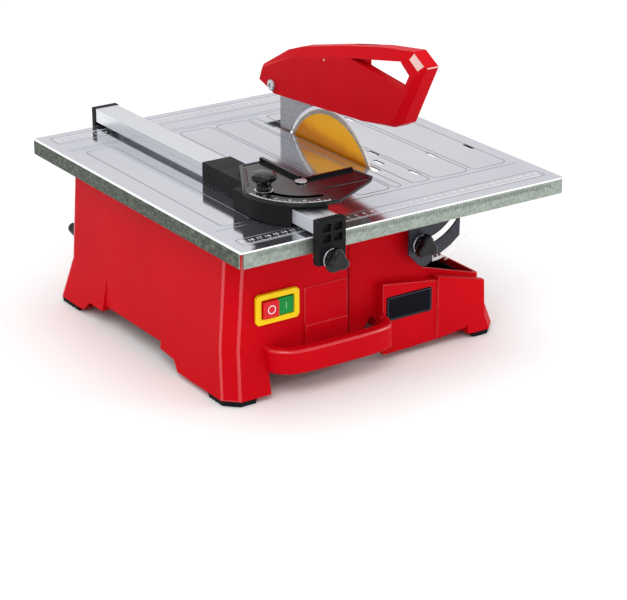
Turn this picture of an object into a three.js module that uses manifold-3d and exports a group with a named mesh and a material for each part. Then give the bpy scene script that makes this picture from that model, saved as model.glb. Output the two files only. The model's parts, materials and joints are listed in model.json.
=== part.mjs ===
// A bench-top wet tile saw: a moulded housing with the motor and the water tray inside,
// a tilting sheet-steel table, a diamond blade with a riving knife and a swing-up guard,
// and a rip fence that carries a mitre protractor.
// Millimetres. X runs from the operator's left to the right, Y from the front to the back, Z up.
// Pieces are drawn with the table's centre over X = Y = 0 and the feet on Z = 0,
// and the last lines centre the whole.
import * as THREE from "three";
import { mergeVertices } from "three/addons/utils/BufferGeometryUtils.js";
import Module from "manifold-3d";

const wasm = await Module();
wasm.setup();

// ---- Driving dimensions -------------------------------------------------------------------------
const GAP = 0.3; // between two pieces that touch
const RUNNING = 0.4; // radial play of a piece that turns
const SLIDING = 0.5; // play of a piece that slides

const TABLE_WIDTH = 420;
const TABLE_DEPTH = 450;
const TABLE_HEIGHT = 190;
const TABLE_SHEET = 1.5;
const SKIRT_HEIGHT = 18;
const CORNER_NOTCH = 2;

const BLADE_DIAMETER = 180;
const BLADE_THICKNESS = 2.2;
const BLADE_BORE = 22.2;
const BLADE_X = 52;
const BLADE_Y = -2;
const SHAFT_DIAMETER = 14;

const KNIFE_THICKNESS = 1.6;
const KNIFE_CLEARANCE = 4; // between the blade's rim and the knife's front edge
const KNIFE_REAR = 101;

const GUARD_WIDTH = 26;
const GUARD_HANDLE_WIDTH = 16;
const GUARD_WALL = 2.5;
const GUARD_PIVOT_Y = 98;
const GUARD_PIVOT_RISE = 54;
const GUARD_SCREW = 4; // radius of the pivot screw

const BODY_LEFT = 185; // the housing's reach to the left at its top
const BODY_RIGHT = 143;
const BODY_FRONT = 170;
const BODY_REAR = 172;
const BODY_WALL = 3.5;
const BODY_DRAFT = 9; // how much wider the housing is on the left at the crease
const BODY_CHAMFER = 14; // of the housing's front corners
const REAR_CHAMFER = 4;
const CREASE_HEIGHT = 58;
const ARCH_HEIGHT = 25; // clear height under the housing between its legs
const LEG_REACH = 203; // how far the left legs reach
const LEG_SPREAD = 187; // half the spread of the legs from front to back
const LEG_RIGHT = 165;
const FOOT_HEIGHT = 6;

const BEVEL_RADIUS = 61; // of the arc slot in the two bevel plates
const BEVEL_REST = -88; // degrees, where the clamping bolt stands in the slot
const BEVEL_TRAVEL = 45;
const BEVEL_PLATE = 2.5;
const BEVEL_PLANE = 174; // distance of the bevel plates from the table's middle
const BEVEL_BOLT = 6;
const BEVEL_KNOB_RADIUS = 14.5;

const FENCE_X = -110;
const FENCE_WIDTH = 30;
const FENCE_HEIGHT = 16;
const FENCE_LIFT = 4; // gap under the fence
const FENCE_WALL = 2;
const CLAMP_DEPTH = 11;
const CLAMP_DROP = 28; // how far the clamp reaches below the table's top
const CLAMP_KNOB_DROP = 22;
const KNOB_RADIUS = 14.5;
const KNOB_LENGTH = 16;

const MITRE_PIVOT_Y = -142;
const MITRE_PLATE = 3;
const MITRE_STUD = 3; // radius of the clamping stud
const MITRE_TRAVEL = 60;
const SLEEVE_WALL = 2.6;
const SLEEVE_LENGTH = 102;

const MOTOR_LENGTH = 118;

// ---- Sizes that follow --------------------------------------------------------------------------
const TABLE_UNDER = TABLE_HEIGHT - TABLE_SHEET;
const BODY_TOP = TABLE_UNDER - 2.5;
const BLADE_RADIUS = BLADE_DIAMETER / 2;
const BLADE_RISE = BLADE_DIAMETER / 4; // how far the blade stands above the table
const MOTOR_RADIUS = BLADE_RISE - 9; // the motor's top stays under the table
const BLADE_Z = TABLE_HEIGHT + BLADE_RISE - BLADE_RADIUS;
const GUARD_PIVOT_Z = TABLE_HEIGHT + GUARD_PIVOT_RISE;
const FENCE_BOTTOM = TABLE_HEIGHT + FENCE_LIFT;
const FENCE_TOP = FENCE_BOTTOM + FENCE_HEIGHT;
const FENCE_FRONT = -TABLE_DEPTH / 2 - 4;
const FENCE_REAR = TABLE_DEPTH / 2 + 2;
const CLAMP_FRONT = FENCE_FRONT - CLAMP_DEPTH;
const MITRE_PIVOT_X = FENCE_WIDTH / 2 + 13; // from the fence's middle to the protractor's pivot
const MITRE_SLOT_RADIUS = MITRE_PIVOT_X + FENCE_WIDTH / 2 + MITRE_STUD + GAP; // the stud passes the rail
const MITRE_RADIUS = MITRE_SLOT_RADIUS + 22;
const BEVEL_BOLT_X = BLADE_X + BEVEL_RADIUS * Math.cos(radians(BEVEL_REST));
const BEVEL_BOLT_Z = TABLE_HEIGHT + BEVEL_RADIUS * Math.sin(radians(BEVEL_REST));
const PARTITION_X = 20;
const WET_LEFT = PARTITION_X + BODY_WALL;
const RECESS_LEFT = -41; // left edge of the recess that the bevel plates swing in
const RECESS_FLOOR = 91;
const RECESS_DEPTH = 9;
const LABEL_PANEL_LEFT = 4;
const LABEL_PANEL_PROUD = 3;
const PANEL_STEP_X = 78; // where the right panel steps out past the label's
const LABEL_PANEL_TOP = 81; // at its right end; its left end reaches the recess's floor
const RIGHT_PANEL_TOP = 85; // at its left end
const RIGHT_PANEL_LOW = 68; // at its right end
const TRAY_SHELF = ARCH_HEIGHT + 3; // top of the shelf that the tray stands on

// ---- Materials ----------------------------------------------------------------------------------
function finish(color, roughness, metalness) {
  return new THREE.MeshStandardMaterial({ color, roughness, metalness });
}
const redPlastic = finish(0xc8101c, 0.38, 0);
const blackPlastic = finish(0x17181a, 0.45, 0);
const glossBlack = finish(0x101114, 0.18, 0);
const yellowPlastic = finish(0xf5d21c, 0.4, 0);
const greenPlastic = finish(0x0a9a48, 0.4, 0);
const rubber = finish(0x111111, 0.85, 0);
const steelSheet = finish(0xc9cdd0, 0.22, 0.95);
const greySteel = finish(0x7b7f84, 0.4, 0.9);
const darkPlate = finish(0x2e3036, 0.35, 0.6);
const aluminium = finish(0xd4d6d8, 0.3, 0.95);
const goldSteel = finish(0xe9a526, 0.35, 0.6);
const castAluminium = finish(0xa9acb0, 0.5, 0.85);
const laminations = finish(0x54585c, 0.55, 0.7);

// ---- Geometry helpers ---------------------------------------------------------------------------
function radians(degrees) {
  return (degrees * Math.PI) / 180;
}

// A closed geometry as a manifold-3d solid.
function solid(geometry) {
  const source = geometry.index ? geometry.toNonIndexed() : geometry;
  const bare = new THREE.BufferGeometry();
  bare.setAttribute("position", source.getAttribute("position"));
  const merged = mergeVertices(bare, 1e-4);
  const vertProperties = new Float32Array(merged.getAttribute("position").array);
  const triVerts = new Uint32Array(merged.index.array);
  return new wasm.Manifold(new wasm.Mesh({ numProp: 3, vertProperties, triVerts }));
}

function geometryOf(made) {
  const mesh = made.getMesh();
  const geometry = new THREE.BufferGeometry();
  geometry.setAttribute("position", new THREE.BufferAttribute(new Float32Array(mesh.vertProperties), 3));
  geometry.setIndex(new THREE.BufferAttribute(new Uint32Array(mesh.triVerts), 1));
  geometry.computeVertexNormals();
  return geometry;
}

function join(first, ...others) {
  return others.reduce((sum, other) => sum.add(other), first);
}

function cut(first, ...others) {
  return others.reduce((rest, other) => rest.subtract(other), first);
}

// A box between two values on each axis.
function block([x0, x1], [y0, y1], [z0, z1]) {
  const box = new THREE.BoxGeometry(x1 - x0, y1 - y0, z1 - z0);
  return solid(box.translate((x0 + x1) / 2, (y0 + y1) / 2, (z0 + z1) / 2));
}

function extruded(points, length) {
  const shape = new THREE.Shape(points.map(([a, b]) => new THREE.Vector2(a, b)));
  return new THREE.ExtrudeGeometry(shape, { depth: length, bevelEnabled: false });
}

// An outline of [x, y] points from z0 to z1.
function prismZ(points, z0, z1) {
  return solid(extruded(points, z1 - z0).translate(0, 0, z0));
}

// An outline of [x, z] points from y0 to y1.
function prismY(points, y0, y1) {
  return solid(extruded(points, y1 - y0).rotateX(Math.PI / 2).translate(0, y1, 0));
}

const TURN_TO_X = new THREE.Matrix4().makeBasis(
  new THREE.Vector3(0, 1, 0),
  new THREE.Vector3(0, 0, 1),
  new THREE.Vector3(1, 0, 0),
);

// An outline of [y, z] points from x0 to x1.
function prismX(points, x0, x1) {
  return solid(extruded(points, x1 - x0).applyMatrix4(TURN_TO_X).translate(x0, 0, 0));
}

// An extrusion whose far outline differs from its near one, point for point.
function tapered(lower, upper, length) {
  const geometry = extruded(lower, length);
  const place = geometry.getAttribute("position");
  for (let i = 0; i < place.count; i += 1) {
    if (place.getZ(i) > 0) {
      const near = ([x, y]) => Math.hypot(x - place.getX(i), y - place.getY(i)) < 1e-3;
      place.setXY(i, ...upper[lower.findIndex(near)]);
    }
  }
  return geometry;
}

// A prism along Z between two outlines of [x, y] points.
function loft(lower, upper, z0, z1) {
  return solid(tapered(lower, upper, z1 - z0).translate(0, 0, z0));
}

// A prism along X between two outlines of [y, z] points.
function loftX(left, right, x0, x1) {
  return solid(tapered(left, right, x1 - x0).applyMatrix4(TURN_TO_X).translate(x0, 0, 0));
}

// A turned piece: [radius, along] points from one end of its axis to the other.
function turned(profile, axis, [x, y, z], segments = 32) {
  const points = profile.map(([radius, along]) => new THREE.Vector2(radius, along));
  const geometry = new THREE.LatheGeometry(points, segments);
  if (axis === "x") geometry.rotateZ(-Math.PI / 2);
  if (axis === "z") geometry.rotateX(Math.PI / 2);
  return solid(geometry.translate(x, y, z));
}

function rod(radius, from, to, axis, centre, segments = 24) {
  return turned([[0, from], [radius, from], [radius, to], [0, to]], axis, centre, segments);
}

function ring(inner, outer, from, to, axis, centre, segments = 32) {
  const profile = [[inner, from], [outer, from], [outer, to], [inner, to], [inner, from]];
  return turned(profile, axis, centre, segments);
}

// The corners of a rectangle with its four corners cut off.
function octagon(x0, x1, y0, y1, chamfer) {
  return [
    [x0 + chamfer, y0],
    [x1 - chamfer, y0],
    [x1, y0 + chamfer],
    [x1, y1 - chamfer],
    [x1 - chamfer, y1],
    [x0 + chamfer, y1],
    [x0, y1 - chamfer],
    [x0, y0 + chamfer],
  ];
}

// Points on an arc from one angle to another, in degrees.
function arc(cx, cy, radius, from, to, steps) {
  const points = [];
  for (let i = 0; i <= steps; i += 1) {
    const angle = radians(from + ((to - from) * i) / steps);
    points.push([cx + radius * Math.cos(angle), cy + radius * Math.sin(angle)]);
  }
  return points;
}

// The outline of an arc-shaped slot with round ends.
function arcSlot(cx, cy, radius, halfWidth, from, to) {
  const end = (angle, start) => {
    const x = cx + radius * Math.cos(radians(angle));
    const y = cy + radius * Math.sin(radians(angle));
    return arc(x, y, halfWidth, start, start + 180, 6);
  };
  return [
    ...arc(cx, cy, radius + halfWidth, from, to, 14),
    ...end(to, to).slice(1, -1),
    ...arc(cx, cy, radius - halfWidth, to, from, 14),
    ...end(from, from + 180).slice(1, -1),
  ];
}

// A round-ended slot along Y.
function slotY(x, y, halfWidth, length) {
  const reach = length / 2 - halfWidth;
  return [...arc(x, y + reach, halfWidth, 0, 180, 6), ...arc(x, y - reach, halfWidth, 180, 360, 6)];
}

// A three-lobed hand knob along +Y, with a blind bore from its back.
function lobedKnob(back, radius, length, bore) {
  const outline = [];
  const steps = 36;
  for (let i = 0; i < steps; i += 1) {
    const angle = (2 * Math.PI * i) / steps;
    const reach = radius * (0.9 + 0.1 * Math.cos(3 * angle));
    outline.push([reach * Math.cos(angle), reach * Math.sin(angle)]);
  }
  const collar = 4;
  const endWall = 3;
  return cut(
    join(
      prismY(outline, back + collar, back + length),
      rod(radius * 0.6, back, back + collar + 1, "y", [0, 0, 0]),
    ),
    rod(bore, back - 1, back + length - endWall, "y", [0, 0, 0]),
  );
}

// ---- The scene graph ----------------------------------------------------------------------------
const saw = new THREE.Group();

function add(name, made, material, group) {
  const mesh = new THREE.Mesh(geometryOf(made), material);
  mesh.name = name;
  group.add(mesh);
}

function subAssembly() {
  const group = new THREE.Group();
  saw.add(group);
  return group;
}

// A group whose own +Y points to the rear, or to the front once it is turned half round.
function facing(side, [x, y, z]) {
  const group = subAssembly();
  group.position.set(x, y, z);
  group.rotation.z = side < 0 ? Math.PI : 0;
  return group;
}

// ---- Housing ------------------------------------------------------------------------------------
// Everything above the sloping rim on the right is cut away, so the blade can lean over the tray.
function aboveRim(y0, y1) {
  const columnRight = BEVEL_BOLT_X + 10;
  const outline = [
    [BLADE_X - 8, BODY_TOP + 5],
    [BLADE_X - 6, BODY_TOP - 8],
    [columnRight, TABLE_HEIGHT - 36],
    [columnRight, RECESS_FLOOR + 4],
    [BODY_RIGHT, 71],
    [BODY_RIGHT + 30, 63],
    [BODY_RIGHT + 30, BODY_TOP + 5],
  ];
  return prismY(outline, y0, y1);
}

// The plan of the housing: a rectangle with its corners cut off, the front ones wider.
function bodyPlan(x0, x1, y0, y1) {
  return [
    [x0 + BODY_CHAMFER, y0],
    [x1 - BODY_CHAMFER, y0],
    [x1, y0 + BODY_CHAMFER],
    [x1, y1 - REAR_CHAMFER],
    [x1 - REAR_CHAMFER, y1],
    [x0 + REAR_CHAMFER, y1],
    [x0, y1 - REAR_CHAMFER],
    [x0, y0 + BODY_CHAMFER],
  ];
}

// The housing's outer form grown or shrunk by an inset, from its lower edge to its top.
function bodyForm(inset, floor, top) {
  const left = -(BODY_LEFT + BODY_DRAFT) + inset;
  const right = BODY_RIGHT + 4 - inset;
  const front = -BODY_FRONT + inset;
  const rear = BODY_REAR - inset;
  const crease = bodyPlan(left, right, front, rear);
  const topEdge = bodyPlan(left + BODY_DRAFT, right - 3, front, rear);
  const lowEdge = bodyPlan(left - 3, right + 2, front - 2, rear + 3);
  const upper = loft(crease, topEdge, CREASE_HEIGHT, top);
  const lower = loft(lowEdge, crease, floor, CREASE_HEIGHT);
  return join(upper, lower);
}

// The outline of a leg or foot: a rectangle whose outer corner is cut off.
function legOutline([outerX, innerX], [outerY, innerY], inset) {
  const inX = Math.sign(innerX - outerX);
  const inY = Math.sign(innerY - outerY);
  const x = [outerX + inX * inset, innerX - inX * inset];
  const y = [outerY + inY * inset, innerY - inY * inset];
  const corner = inY > 0 ? BODY_CHAMFER : REAR_CHAMFER;
  return [
    [x[0] + inX * corner, y[0]],
    [x[1], y[0]],
    [x[1], y[1]],
    [x[0], y[1]],
    [x[0], y[0] + inY * corner],
  ];
}

// A flared leg from the foot to the crease; low and high are its outlines there, outer sides first.
function leg({ low, high }, inset, floor) {
  return loft(legOutline(low.x, low.y, inset), legOutline(high.x, high.y, inset), floor, CREASE_HEIGHT);
}

const CREASE_LEFT = -BODY_LEFT - BODY_DRAFT;
const CREASE_RIGHT = BODY_RIGHT + 4;
const LEGS = {
  front_left: {
    low: { x: [-LEG_REACH, -150], y: [-LEG_SPREAD, -42] },
    high: { x: [CREASE_LEFT, -146], y: [-BODY_FRONT, -42] },
  },
  rear_left: {
    low: { x: [-LEG_REACH, -150], y: [LEG_SPREAD, 88] },
    high: { x: [CREASE_LEFT, -146], y: [BODY_REAR, 87] },
  },
  front_right: {
    low: { x: [LEG_RIGHT, 122], y: [-BODY_FRONT - 5, -128] },
    high: { x: [CREASE_RIGHT, 118], y: [-BODY_FRONT, -126] },
  },
  rear_right: {
    low: { x: [LEG_RIGHT, 118], y: [LEG_SPREAD, 132] },
    high: { x: [CREASE_RIGHT, 116], y: [BODY_REAR, 130] },
  },
};

const FOOT_TOP = FOOT_HEIGHT + GAP;
const FOOT_WIDTH = 36;
const FOOT_LENGTH = 44;

// The bar across the front that the saw is carried by, cut to fit the left leg and the label's panel.
function carryHandle() {
  const front = -205;
  const bar = 15;
  const root = -BODY_FRONT + RECESS_DEPTH;
  const besideLabel = LABEL.x[0] - 2 * GAP;
  const outline = [
    [-150, root],
    [-150, -182],
    [-128, front],
    [-8, front],
    [besideLabel, -182],
    [besideLabel, root],
    [besideLabel - 8, root],
    [besideLabel - 8, -182],
    [-12, front + bar],
    [-121, front + bar],
    [-136, -178],
    [-136, root],
  ];
  const columnRight = LABEL_PANEL_LEFT - GAP;
  const column = block([RECESS_LEFT, columnRight], [-BODY_FRONT - 10, root - GAP], [0, BODY_TOP]);
  const panelFace = -BODY_FRONT - LABEL_PANEL_PROUD - GAP;
  return cut(
    prismZ(outline, 28, 56),
    bodyForm(-GAP, ARCH_HEIGHT, BODY_TOP).subtract(column),
    block([columnRight, PANEL_STEP_X], [panelFace, 0], [0, BODY_TOP]),
    leg(LEGS.front_left, -GAP, FOOT_TOP),
  );
}

function housing() {
  let outer = bodyForm(0, ARCH_HEIGHT, BODY_TOP);
  let inner = join(
    bodyForm(BODY_WALL, ARCH_HEIGHT - 1, BODY_TOP - BODY_WALL),
    block([WET_LEFT, BODY_RIGHT - BODY_WALL], [-BODY_FRONT + 12, BODY_REAR - 12], [60, BODY_TOP + 1]),
  );
  for (const shape of Object.values(LEGS)) {
    outer = outer.add(leg(shape, 0, FOOT_TOP));
    inner = inner.add(leg(shape, BODY_WALL, FOOT_TOP + BODY_WALL));
  }
  // the front wall reaches down between the front legs on the right
  const apronLeft = LABEL_PANEL_LEFT + 2;
  const apron = [[apronLeft, 8], [PANEL_STEP_X, 10], [120, 14], [120, 60], [apronLeft, 60]];
  outer = join(outer, prismY(apron, -BODY_FRONT - LABEL_PANEL_PROUD, -BODY_FRONT + BODY_WALL));
  // the raised panels of the front: the label's and the one to its right
  const labelPanel = [
    [LABEL_PANEL_LEFT, 10],
    [PANEL_STEP_X, 12],
    [PANEL_STEP_X, LABEL_PANEL_TOP],
    [LABEL_PANEL_LEFT, RECESS_FLOOR],
  ];
  const rightPanel = [
    [PANEL_STEP_X, 12],
    [BODY_RIGHT + 1, 20],
    [BODY_RIGHT - 1, RIGHT_PANEL_LOW],
    [PANEL_STEP_X, RIGHT_PANEL_TOP],
  ];
  const blockX = [-97, RECESS_LEFT - 1];
  const blockStep = 67; // below it the block beside the switch stands further out
  const besideSwitch = join(
    block(blockX, [-BODY_FRONT - 1.2, -BODY_FRONT + 2], [blockStep - 1, 110]),
    block(blockX, [-BODY_FRONT - 3, -BODY_FRONT + 2], [ARCH_HEIGHT + 1, blockStep]),
  );
  outer = join(
    outer,
    besideSwitch,
    prismY(labelPanel, -BODY_FRONT - LABEL_PANEL_PROUD, -BODY_FRONT + 2),
    prismY(rightPanel, -BODY_FRONT - LABEL_PANEL_PROUD - 2, -BODY_FRONT + 2),
  );

  // walls set back where the bevel plates swing
  const recess = [
    [RECESS_LEFT, RECESS_FLOOR],
    [LABEL_PANEL_LEFT, RECESS_FLOOR],
    [PANEL_STEP_X, LABEL_PANEL_TOP],
    [PANEL_STEP_X, RIGHT_PANEL_TOP],
    [BODY_RIGHT - 1, RIGHT_PANEL_LOW],
    [BODY_RIGHT - 1, BODY_TOP + 2],
    [RECESS_LEFT, BODY_TOP + 2],
  ];
  const column = [
    [RECESS_LEFT, ARCH_HEIGHT - 1],
    [LABEL_PANEL_LEFT, ARCH_HEIGHT - 1],
    [LABEL_PANEL_LEFT, RECESS_FLOOR + 1],
    [RECESS_LEFT, RECESS_FLOOR + 1],
  ];
  // the opening at the column's foot
  const columnFoot = [
    [-25, ARCH_HEIGHT - 1],
    [LABEL_PANEL_LEFT, ARCH_HEIGHT - 1],
    [LABEL_PANEL_LEFT, 46],
    [-4, 53],
  ];
  const frontFace = -BODY_FRONT + RECESS_DEPTH;
  const rearFace = BODY_REAR - RECESS_DEPTH - 2;
  const lining = BODY_WALL + RECESS_DEPTH;
  const liningX = [RECESS_LEFT - BODY_WALL, BODY_RIGHT];
  const fullY = [-BODY_FRONT, BODY_REAR];
  const fullZ = [ARCH_HEIGHT, BODY_TOP];
  const keep = join(
    block(liningX, [-BODY_FRONT, -BODY_FRONT + lining], fullZ),
    block(liningX, [BODY_REAR - lining - 2, BODY_REAR], fullZ),
    block([PARTITION_X, WET_LEFT], fullY, fullZ),
    block([PARTITION_X, BODY_RIGHT], fullY, [ARCH_HEIGHT, TRAY_SHELF]),
  );
  return cut(
    outer,
    inner.subtract(keep),
    prismY(recess, -BODY_FRONT - 10, frontFace),
    prismY(column, -BODY_FRONT - 10, frontFace),
    prismY(columnFoot, frontFace - 1, frontFace + BODY_WALL + 1),
    prismY(recess, rearFace, BODY_REAR + 10),
    aboveRim(-BODY_FRONT - 20, BODY_REAR + 20),
    shaftHole(),
    switchCutout(),
    labelPocket(),
    glandHole(),
    bevelBoltHole(-1),
    bevelBoltHole(1),
    sideArch(),
  );
}

// The flat arch between the legs on the left side.
function sideArch() {
  const arch = [
    [-89, -1],
    [-72, 17],
    [-41, 19.5],
    [-40, 22.5],
    [-10, ARCH_HEIGHT],
    [55, ARCH_HEIGHT],
    [87, 21],
    [88, 18.5],
    [119, 18.5],
    [140, -1],
  ];
  return prismX(arch, -LEG_REACH - 5, -140);
}

function shaftHole() {
  return rod(MOTOR_RADIUS - 14, PARTITION_X - 1, WET_LEFT + 1, "x", [0, BLADE_Y, BLADE_Z]);
}

// ---- Switch -------------------------------------------------------------------------------------
const SWITCH = { x: -133, z: 98, width: 54, height: 34, depth: 24, rim: 5, proud: 5, travel: 3.5 };
const BUTTON_WIDTH = 19;
const BUTTON_HEIGHT = 19;

function switchCutout() {
  const { x, z, width, height, rim } = SWITCH;
  const across = [x - width / 2 + rim, x + width / 2 - rim];
  const up = [z - height / 2 + rim, z + height / 2 - rim];
  return block(across, [-BODY_FRONT - 1, -BODY_FRONT + BODY_WALL + 1], up);
}

function buildSwitch() {
  const group = subAssembly();
  const { x, z, width, height, depth, rim, proud, travel } = SWITCH;
  const front = -BODY_FRONT - proud;
  const halfWidth = width / 2;
  const halfHeight = height / 2;
  const outline = octagon(x - halfWidth, x + halfWidth, z - halfHeight, z + halfHeight, 3);
  const reachX = BUTTON_WIDTH + SLIDING / 2 + 1;
  const reachZ = BUTTON_HEIGHT / 2 + 1;
  const opening = block([x - reachX, x + reachX], [front - 1, 0], [z - reachZ, z + reachZ]);
  add("switch_frame", cut(prismY(outline, front, -BODY_FRONT - GAP), opening), yellowPlastic, group);

  // the box behind the frame, open towards the buttons
  const boxX = [x - halfWidth + rim + GAP, x + halfWidth - rim - GAP];
  const boxZ = [z - halfHeight + rim + GAP, z + halfHeight - rim - GAP];
  const box = block(boxX, [-BODY_FRONT, -BODY_FRONT + depth], boxZ);
  const wall = 1.5;
  const room = block(
    [boxX[0] + wall, boxX[1] - wall],
    [-BODY_FRONT - 1, -BODY_FRONT + depth - wall],
    [boxZ[0] + wall, boxZ[1] - wall],
  );
  add("switch_box", cut(box, room), blackPlastic, group);

  for (const [name, side, lift, material] of [
    ["stop_button", -1, 3, redPlastic],
    ["start_button", 1, 0.5, greenPlastic],
  ]) {
    const middle = x + side * (BUTTON_WIDTH / 2 + SLIDING / 2);
    const half = BUTTON_WIDTH / 2;
    const cap = octagon(middle - half, middle + half, z - BUTTON_HEIGHT / 2, z + BUTTON_HEIGHT / 2, 1);
    const stemX = [middle - 5, middle + 5];
    const stemEnd = -BODY_FRONT + depth - wall - travel - SLIDING;
    const pad = prismY(cap, front - lift, -BODY_FRONT + 1);
    const stem = block(stemX, [-BODY_FRONT, stemEnd], [z - 5, z + 5]);
    add(name, join(pad, stem), material, group);
  }
}

// ---- Label, gland, feet -------------------------------------------------------------------------
const LABEL = { x: [9, 70], z: [47, 75], thickness: 1.2, sunk: 0.8 };

function labelPocket() {
  const face = -BODY_FRONT - LABEL_PANEL_PROUD;
  return block(
    [LABEL.x[0] - GAP, LABEL.x[1] + GAP],
    [face - 5, face + LABEL.sunk],
    [LABEL.z[0] - GAP, LABEL.z[1] + GAP],
  );
}

const GLAND = { x: -175, z: 80, radius: 7, bore: 4, length: 30 };

function glandHole() {
  return rod(GLAND.radius, BODY_REAR - 15, BODY_REAR + 15, "y", [GLAND.x, 0, GLAND.z]);
}

function buildTrim() {
  const group = subAssembly();
  const face = -BODY_FRONT - LABEL_PANEL_PROUD + LABEL.sunk - GAP;
  const plate = octagon(...LABEL.x, ...LABEL.z, 2);
  add("label_plate", prismY(plate, face - LABEL.thickness, face), blackPlastic, group);

  const { x, z, radius, bore, length } = GLAND;
  const shoulder = radius + 3;
  const profile = [
    [bore, -8],
    [radius - GAP, -8],
    [radius - GAP, GAP],
    [shoulder, GAP],
    [shoulder, 4],
    [bore + 2, length],
    [bore, length],
    [bore, -8],
  ];
  add("cable_gland", turned(profile, "y", [x, BODY_REAR, z], 24), blackPlastic, group);

  for (const [name, { low }] of Object.entries(LEGS)) {
    const x = [low.x[0], low.x[0] + Math.sign(low.x[1] - low.x[0]) * FOOT_WIDTH];
    const y = [low.y[0], low.y[0] + Math.sign(low.y[1] - low.y[0]) * FOOT_LENGTH];
    const foot = loft(legOutline(x, y, 1.5), legOutline(x, y, 0.5), 0, FOOT_HEIGHT);
    add(`foot_${name}`, foot, rubber, group);
  }
}

// ---- Water tray ---------------------------------------------------------------------------------
const TRAY_BOTTOM = TRAY_SHELF + GAP;
const TRAY_TOP = 66;
const TRAY_WALL = 2;

function waterTray() {
  const x = [WET_LEFT + GAP, BODY_RIGHT - BODY_WALL - GAP];
  const lining = BODY_WALL + RECESS_DEPTH + 2.5 + GAP;
  const y = [-BODY_FRONT + lining, BODY_REAR - lining];
  const shell = prismZ(octagon(...x, ...y, 6), TRAY_BOTTOM, TRAY_TOP);
  const inner = octagon(x[0] + TRAY_WALL, x[1] - TRAY_WALL, y[0] + TRAY_WALL, y[1] - TRAY_WALL, 5);
  return cut(shell, prismZ(inner, TRAY_BOTTOM + TRAY_WALL, TRAY_TOP + 1));
}

// ---- Motor and blade ----------------------------------------------------------------------------
const AXIS = [0, BLADE_Y, BLADE_Z];
const MOTOR_RIGHT = PARTITION_X - GAP;
const MOTOR_LEFT = MOTOR_RIGHT - MOTOR_LENGTH;
const SHIELD = 12; // thickness of each end shield
const BEARING = { outer: 13, width: 9 };
const SHAFT = SHAFT_DIAMETER / 2;

function buildMotor() {
  const group = subAssembly();
  const can = [MOTOR_LEFT + SHIELD + GAP, MOTOR_RIGHT - SHIELD - GAP];
  add("motor_can", ring(MOTOR_RADIUS - 2.5, MOTOR_RADIUS, ...can, "x", AXIS, 40), castAluminium, group);
  const stack = [can[0] + 16, can[1] - 16];
  add("stator_core", ring(21, MOTOR_RADIUS - 2.5 - GAP, ...stack, "x", AXIS, 40), laminations, group);

  const seat = BEARING.outer + GAP;
  const bearingRight = [MOTOR_RIGHT - SHIELD + 1, MOTOR_RIGHT - SHIELD + 1 + BEARING.width];
  const bearingLeft = [MOTOR_LEFT + SHIELD - 1 - BEARING.width, MOTOR_LEFT + SHIELD - 1];
  const rightShield = cut(
    rod(MOTOR_RADIUS, MOTOR_RIGHT - SHIELD, MOTOR_RIGHT, "x", AXIS, 40),
    rod(seat, MOTOR_RIGHT - SHIELD - 1, bearingRight[1] + GAP, "x", AXIS),
    rod(SHAFT + 2, MOTOR_RIGHT - SHIELD, MOTOR_RIGHT + 1, "x", AXIS),
  );
  add("end_shield_right", rightShield, castAluminium, group);
  const leftShield = cut(
    rod(MOTOR_RADIUS, MOTOR_LEFT, MOTOR_LEFT + SHIELD, "x", AXIS, 40),
    rod(seat, bearingLeft[0] - GAP, MOTOR_LEFT + SHIELD + 1, "x", AXIS),
    rod(SHAFT + 2, MOTOR_LEFT - 1, MOTOR_LEFT + SHIELD, "x", AXIS),
  );
  add("end_shield_left", leftShield, castAluminium, group);
  for (const [name, span] of [["bearing_right", bearingRight], ["bearing_left", bearingLeft]]) {
    add(name, ring(SHAFT + RUNNING, BEARING.outer, ...span, "x", AXIS, 28), greySteel, group);
  }

  const capacitorX = [MOTOR_LEFT + 20, MOTOR_LEFT + 75];
  const capacitor = rod(15, ...capacitorX, "x", [0, BLADE_Y + 80, BLADE_Z - 10]);
  add("capacitor", capacitor, blackPlastic, group);

  // the turning pieces
  const rotor = subAssembly();
  const shaftEnd = BLADE_X + 17;
  add("motor_shaft", rod(SHAFT, MOTOR_LEFT - 22, shaftEnd, "x", AXIS), greySteel, rotor);
  const core = ring(SHAFT + GAP, 21 - 2 * RUNNING, stack[0] + 1, stack[1] - 1, "x", AXIS, 36);
  add("rotor_core", core, laminations, rotor);
  add("cooling_fan", coolingFan([MOTOR_LEFT - 18, MOTOR_LEFT - 4]), blackPlastic, rotor);

  const side = BLADE_THICKNESS / 2 + GAP;
  const bore = SHAFT + GAP;
  const innerFlange = [
    [bore, BLADE_X - side - 10],
    [14, BLADE_X - side - 10],
    [30, BLADE_X - side - 3],
    [30, BLADE_X - side],
    [BLADE_BORE / 2 - GAP, BLADE_X - side],
    [BLADE_BORE / 2 - GAP, BLADE_X + BLADE_THICKNESS / 2],
    [bore, BLADE_X + BLADE_THICKNESS / 2],
    [bore, BLADE_X - side - 10],
  ];
  add("inner_flange", turned(innerFlange, "x", AXIS, 36), greySteel, rotor);
  const bladeSpan = [BLADE_X - BLADE_THICKNESS / 2, BLADE_X + BLADE_THICKNESS / 2];
  add("saw_blade", ring(BLADE_BORE / 2, BLADE_RADIUS, ...bladeSpan, "x", AXIS, 72), goldSteel, rotor);
  add("outer_flange", ring(bore, 26, BLADE_X + side, BLADE_X + side + 4, "x", AXIS, 36), greySteel, rotor);
  const nut = cut(
    prismX(arc(BLADE_Y, BLADE_Z, 13, 0, 300, 5), BLADE_X + side + 4 + GAP, shaftEnd - 3),
    rod(bore, BLADE_X, shaftEnd + 1, "x", AXIS),
  );
  add("arbor_nut", nut, greySteel, rotor);
}

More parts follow.
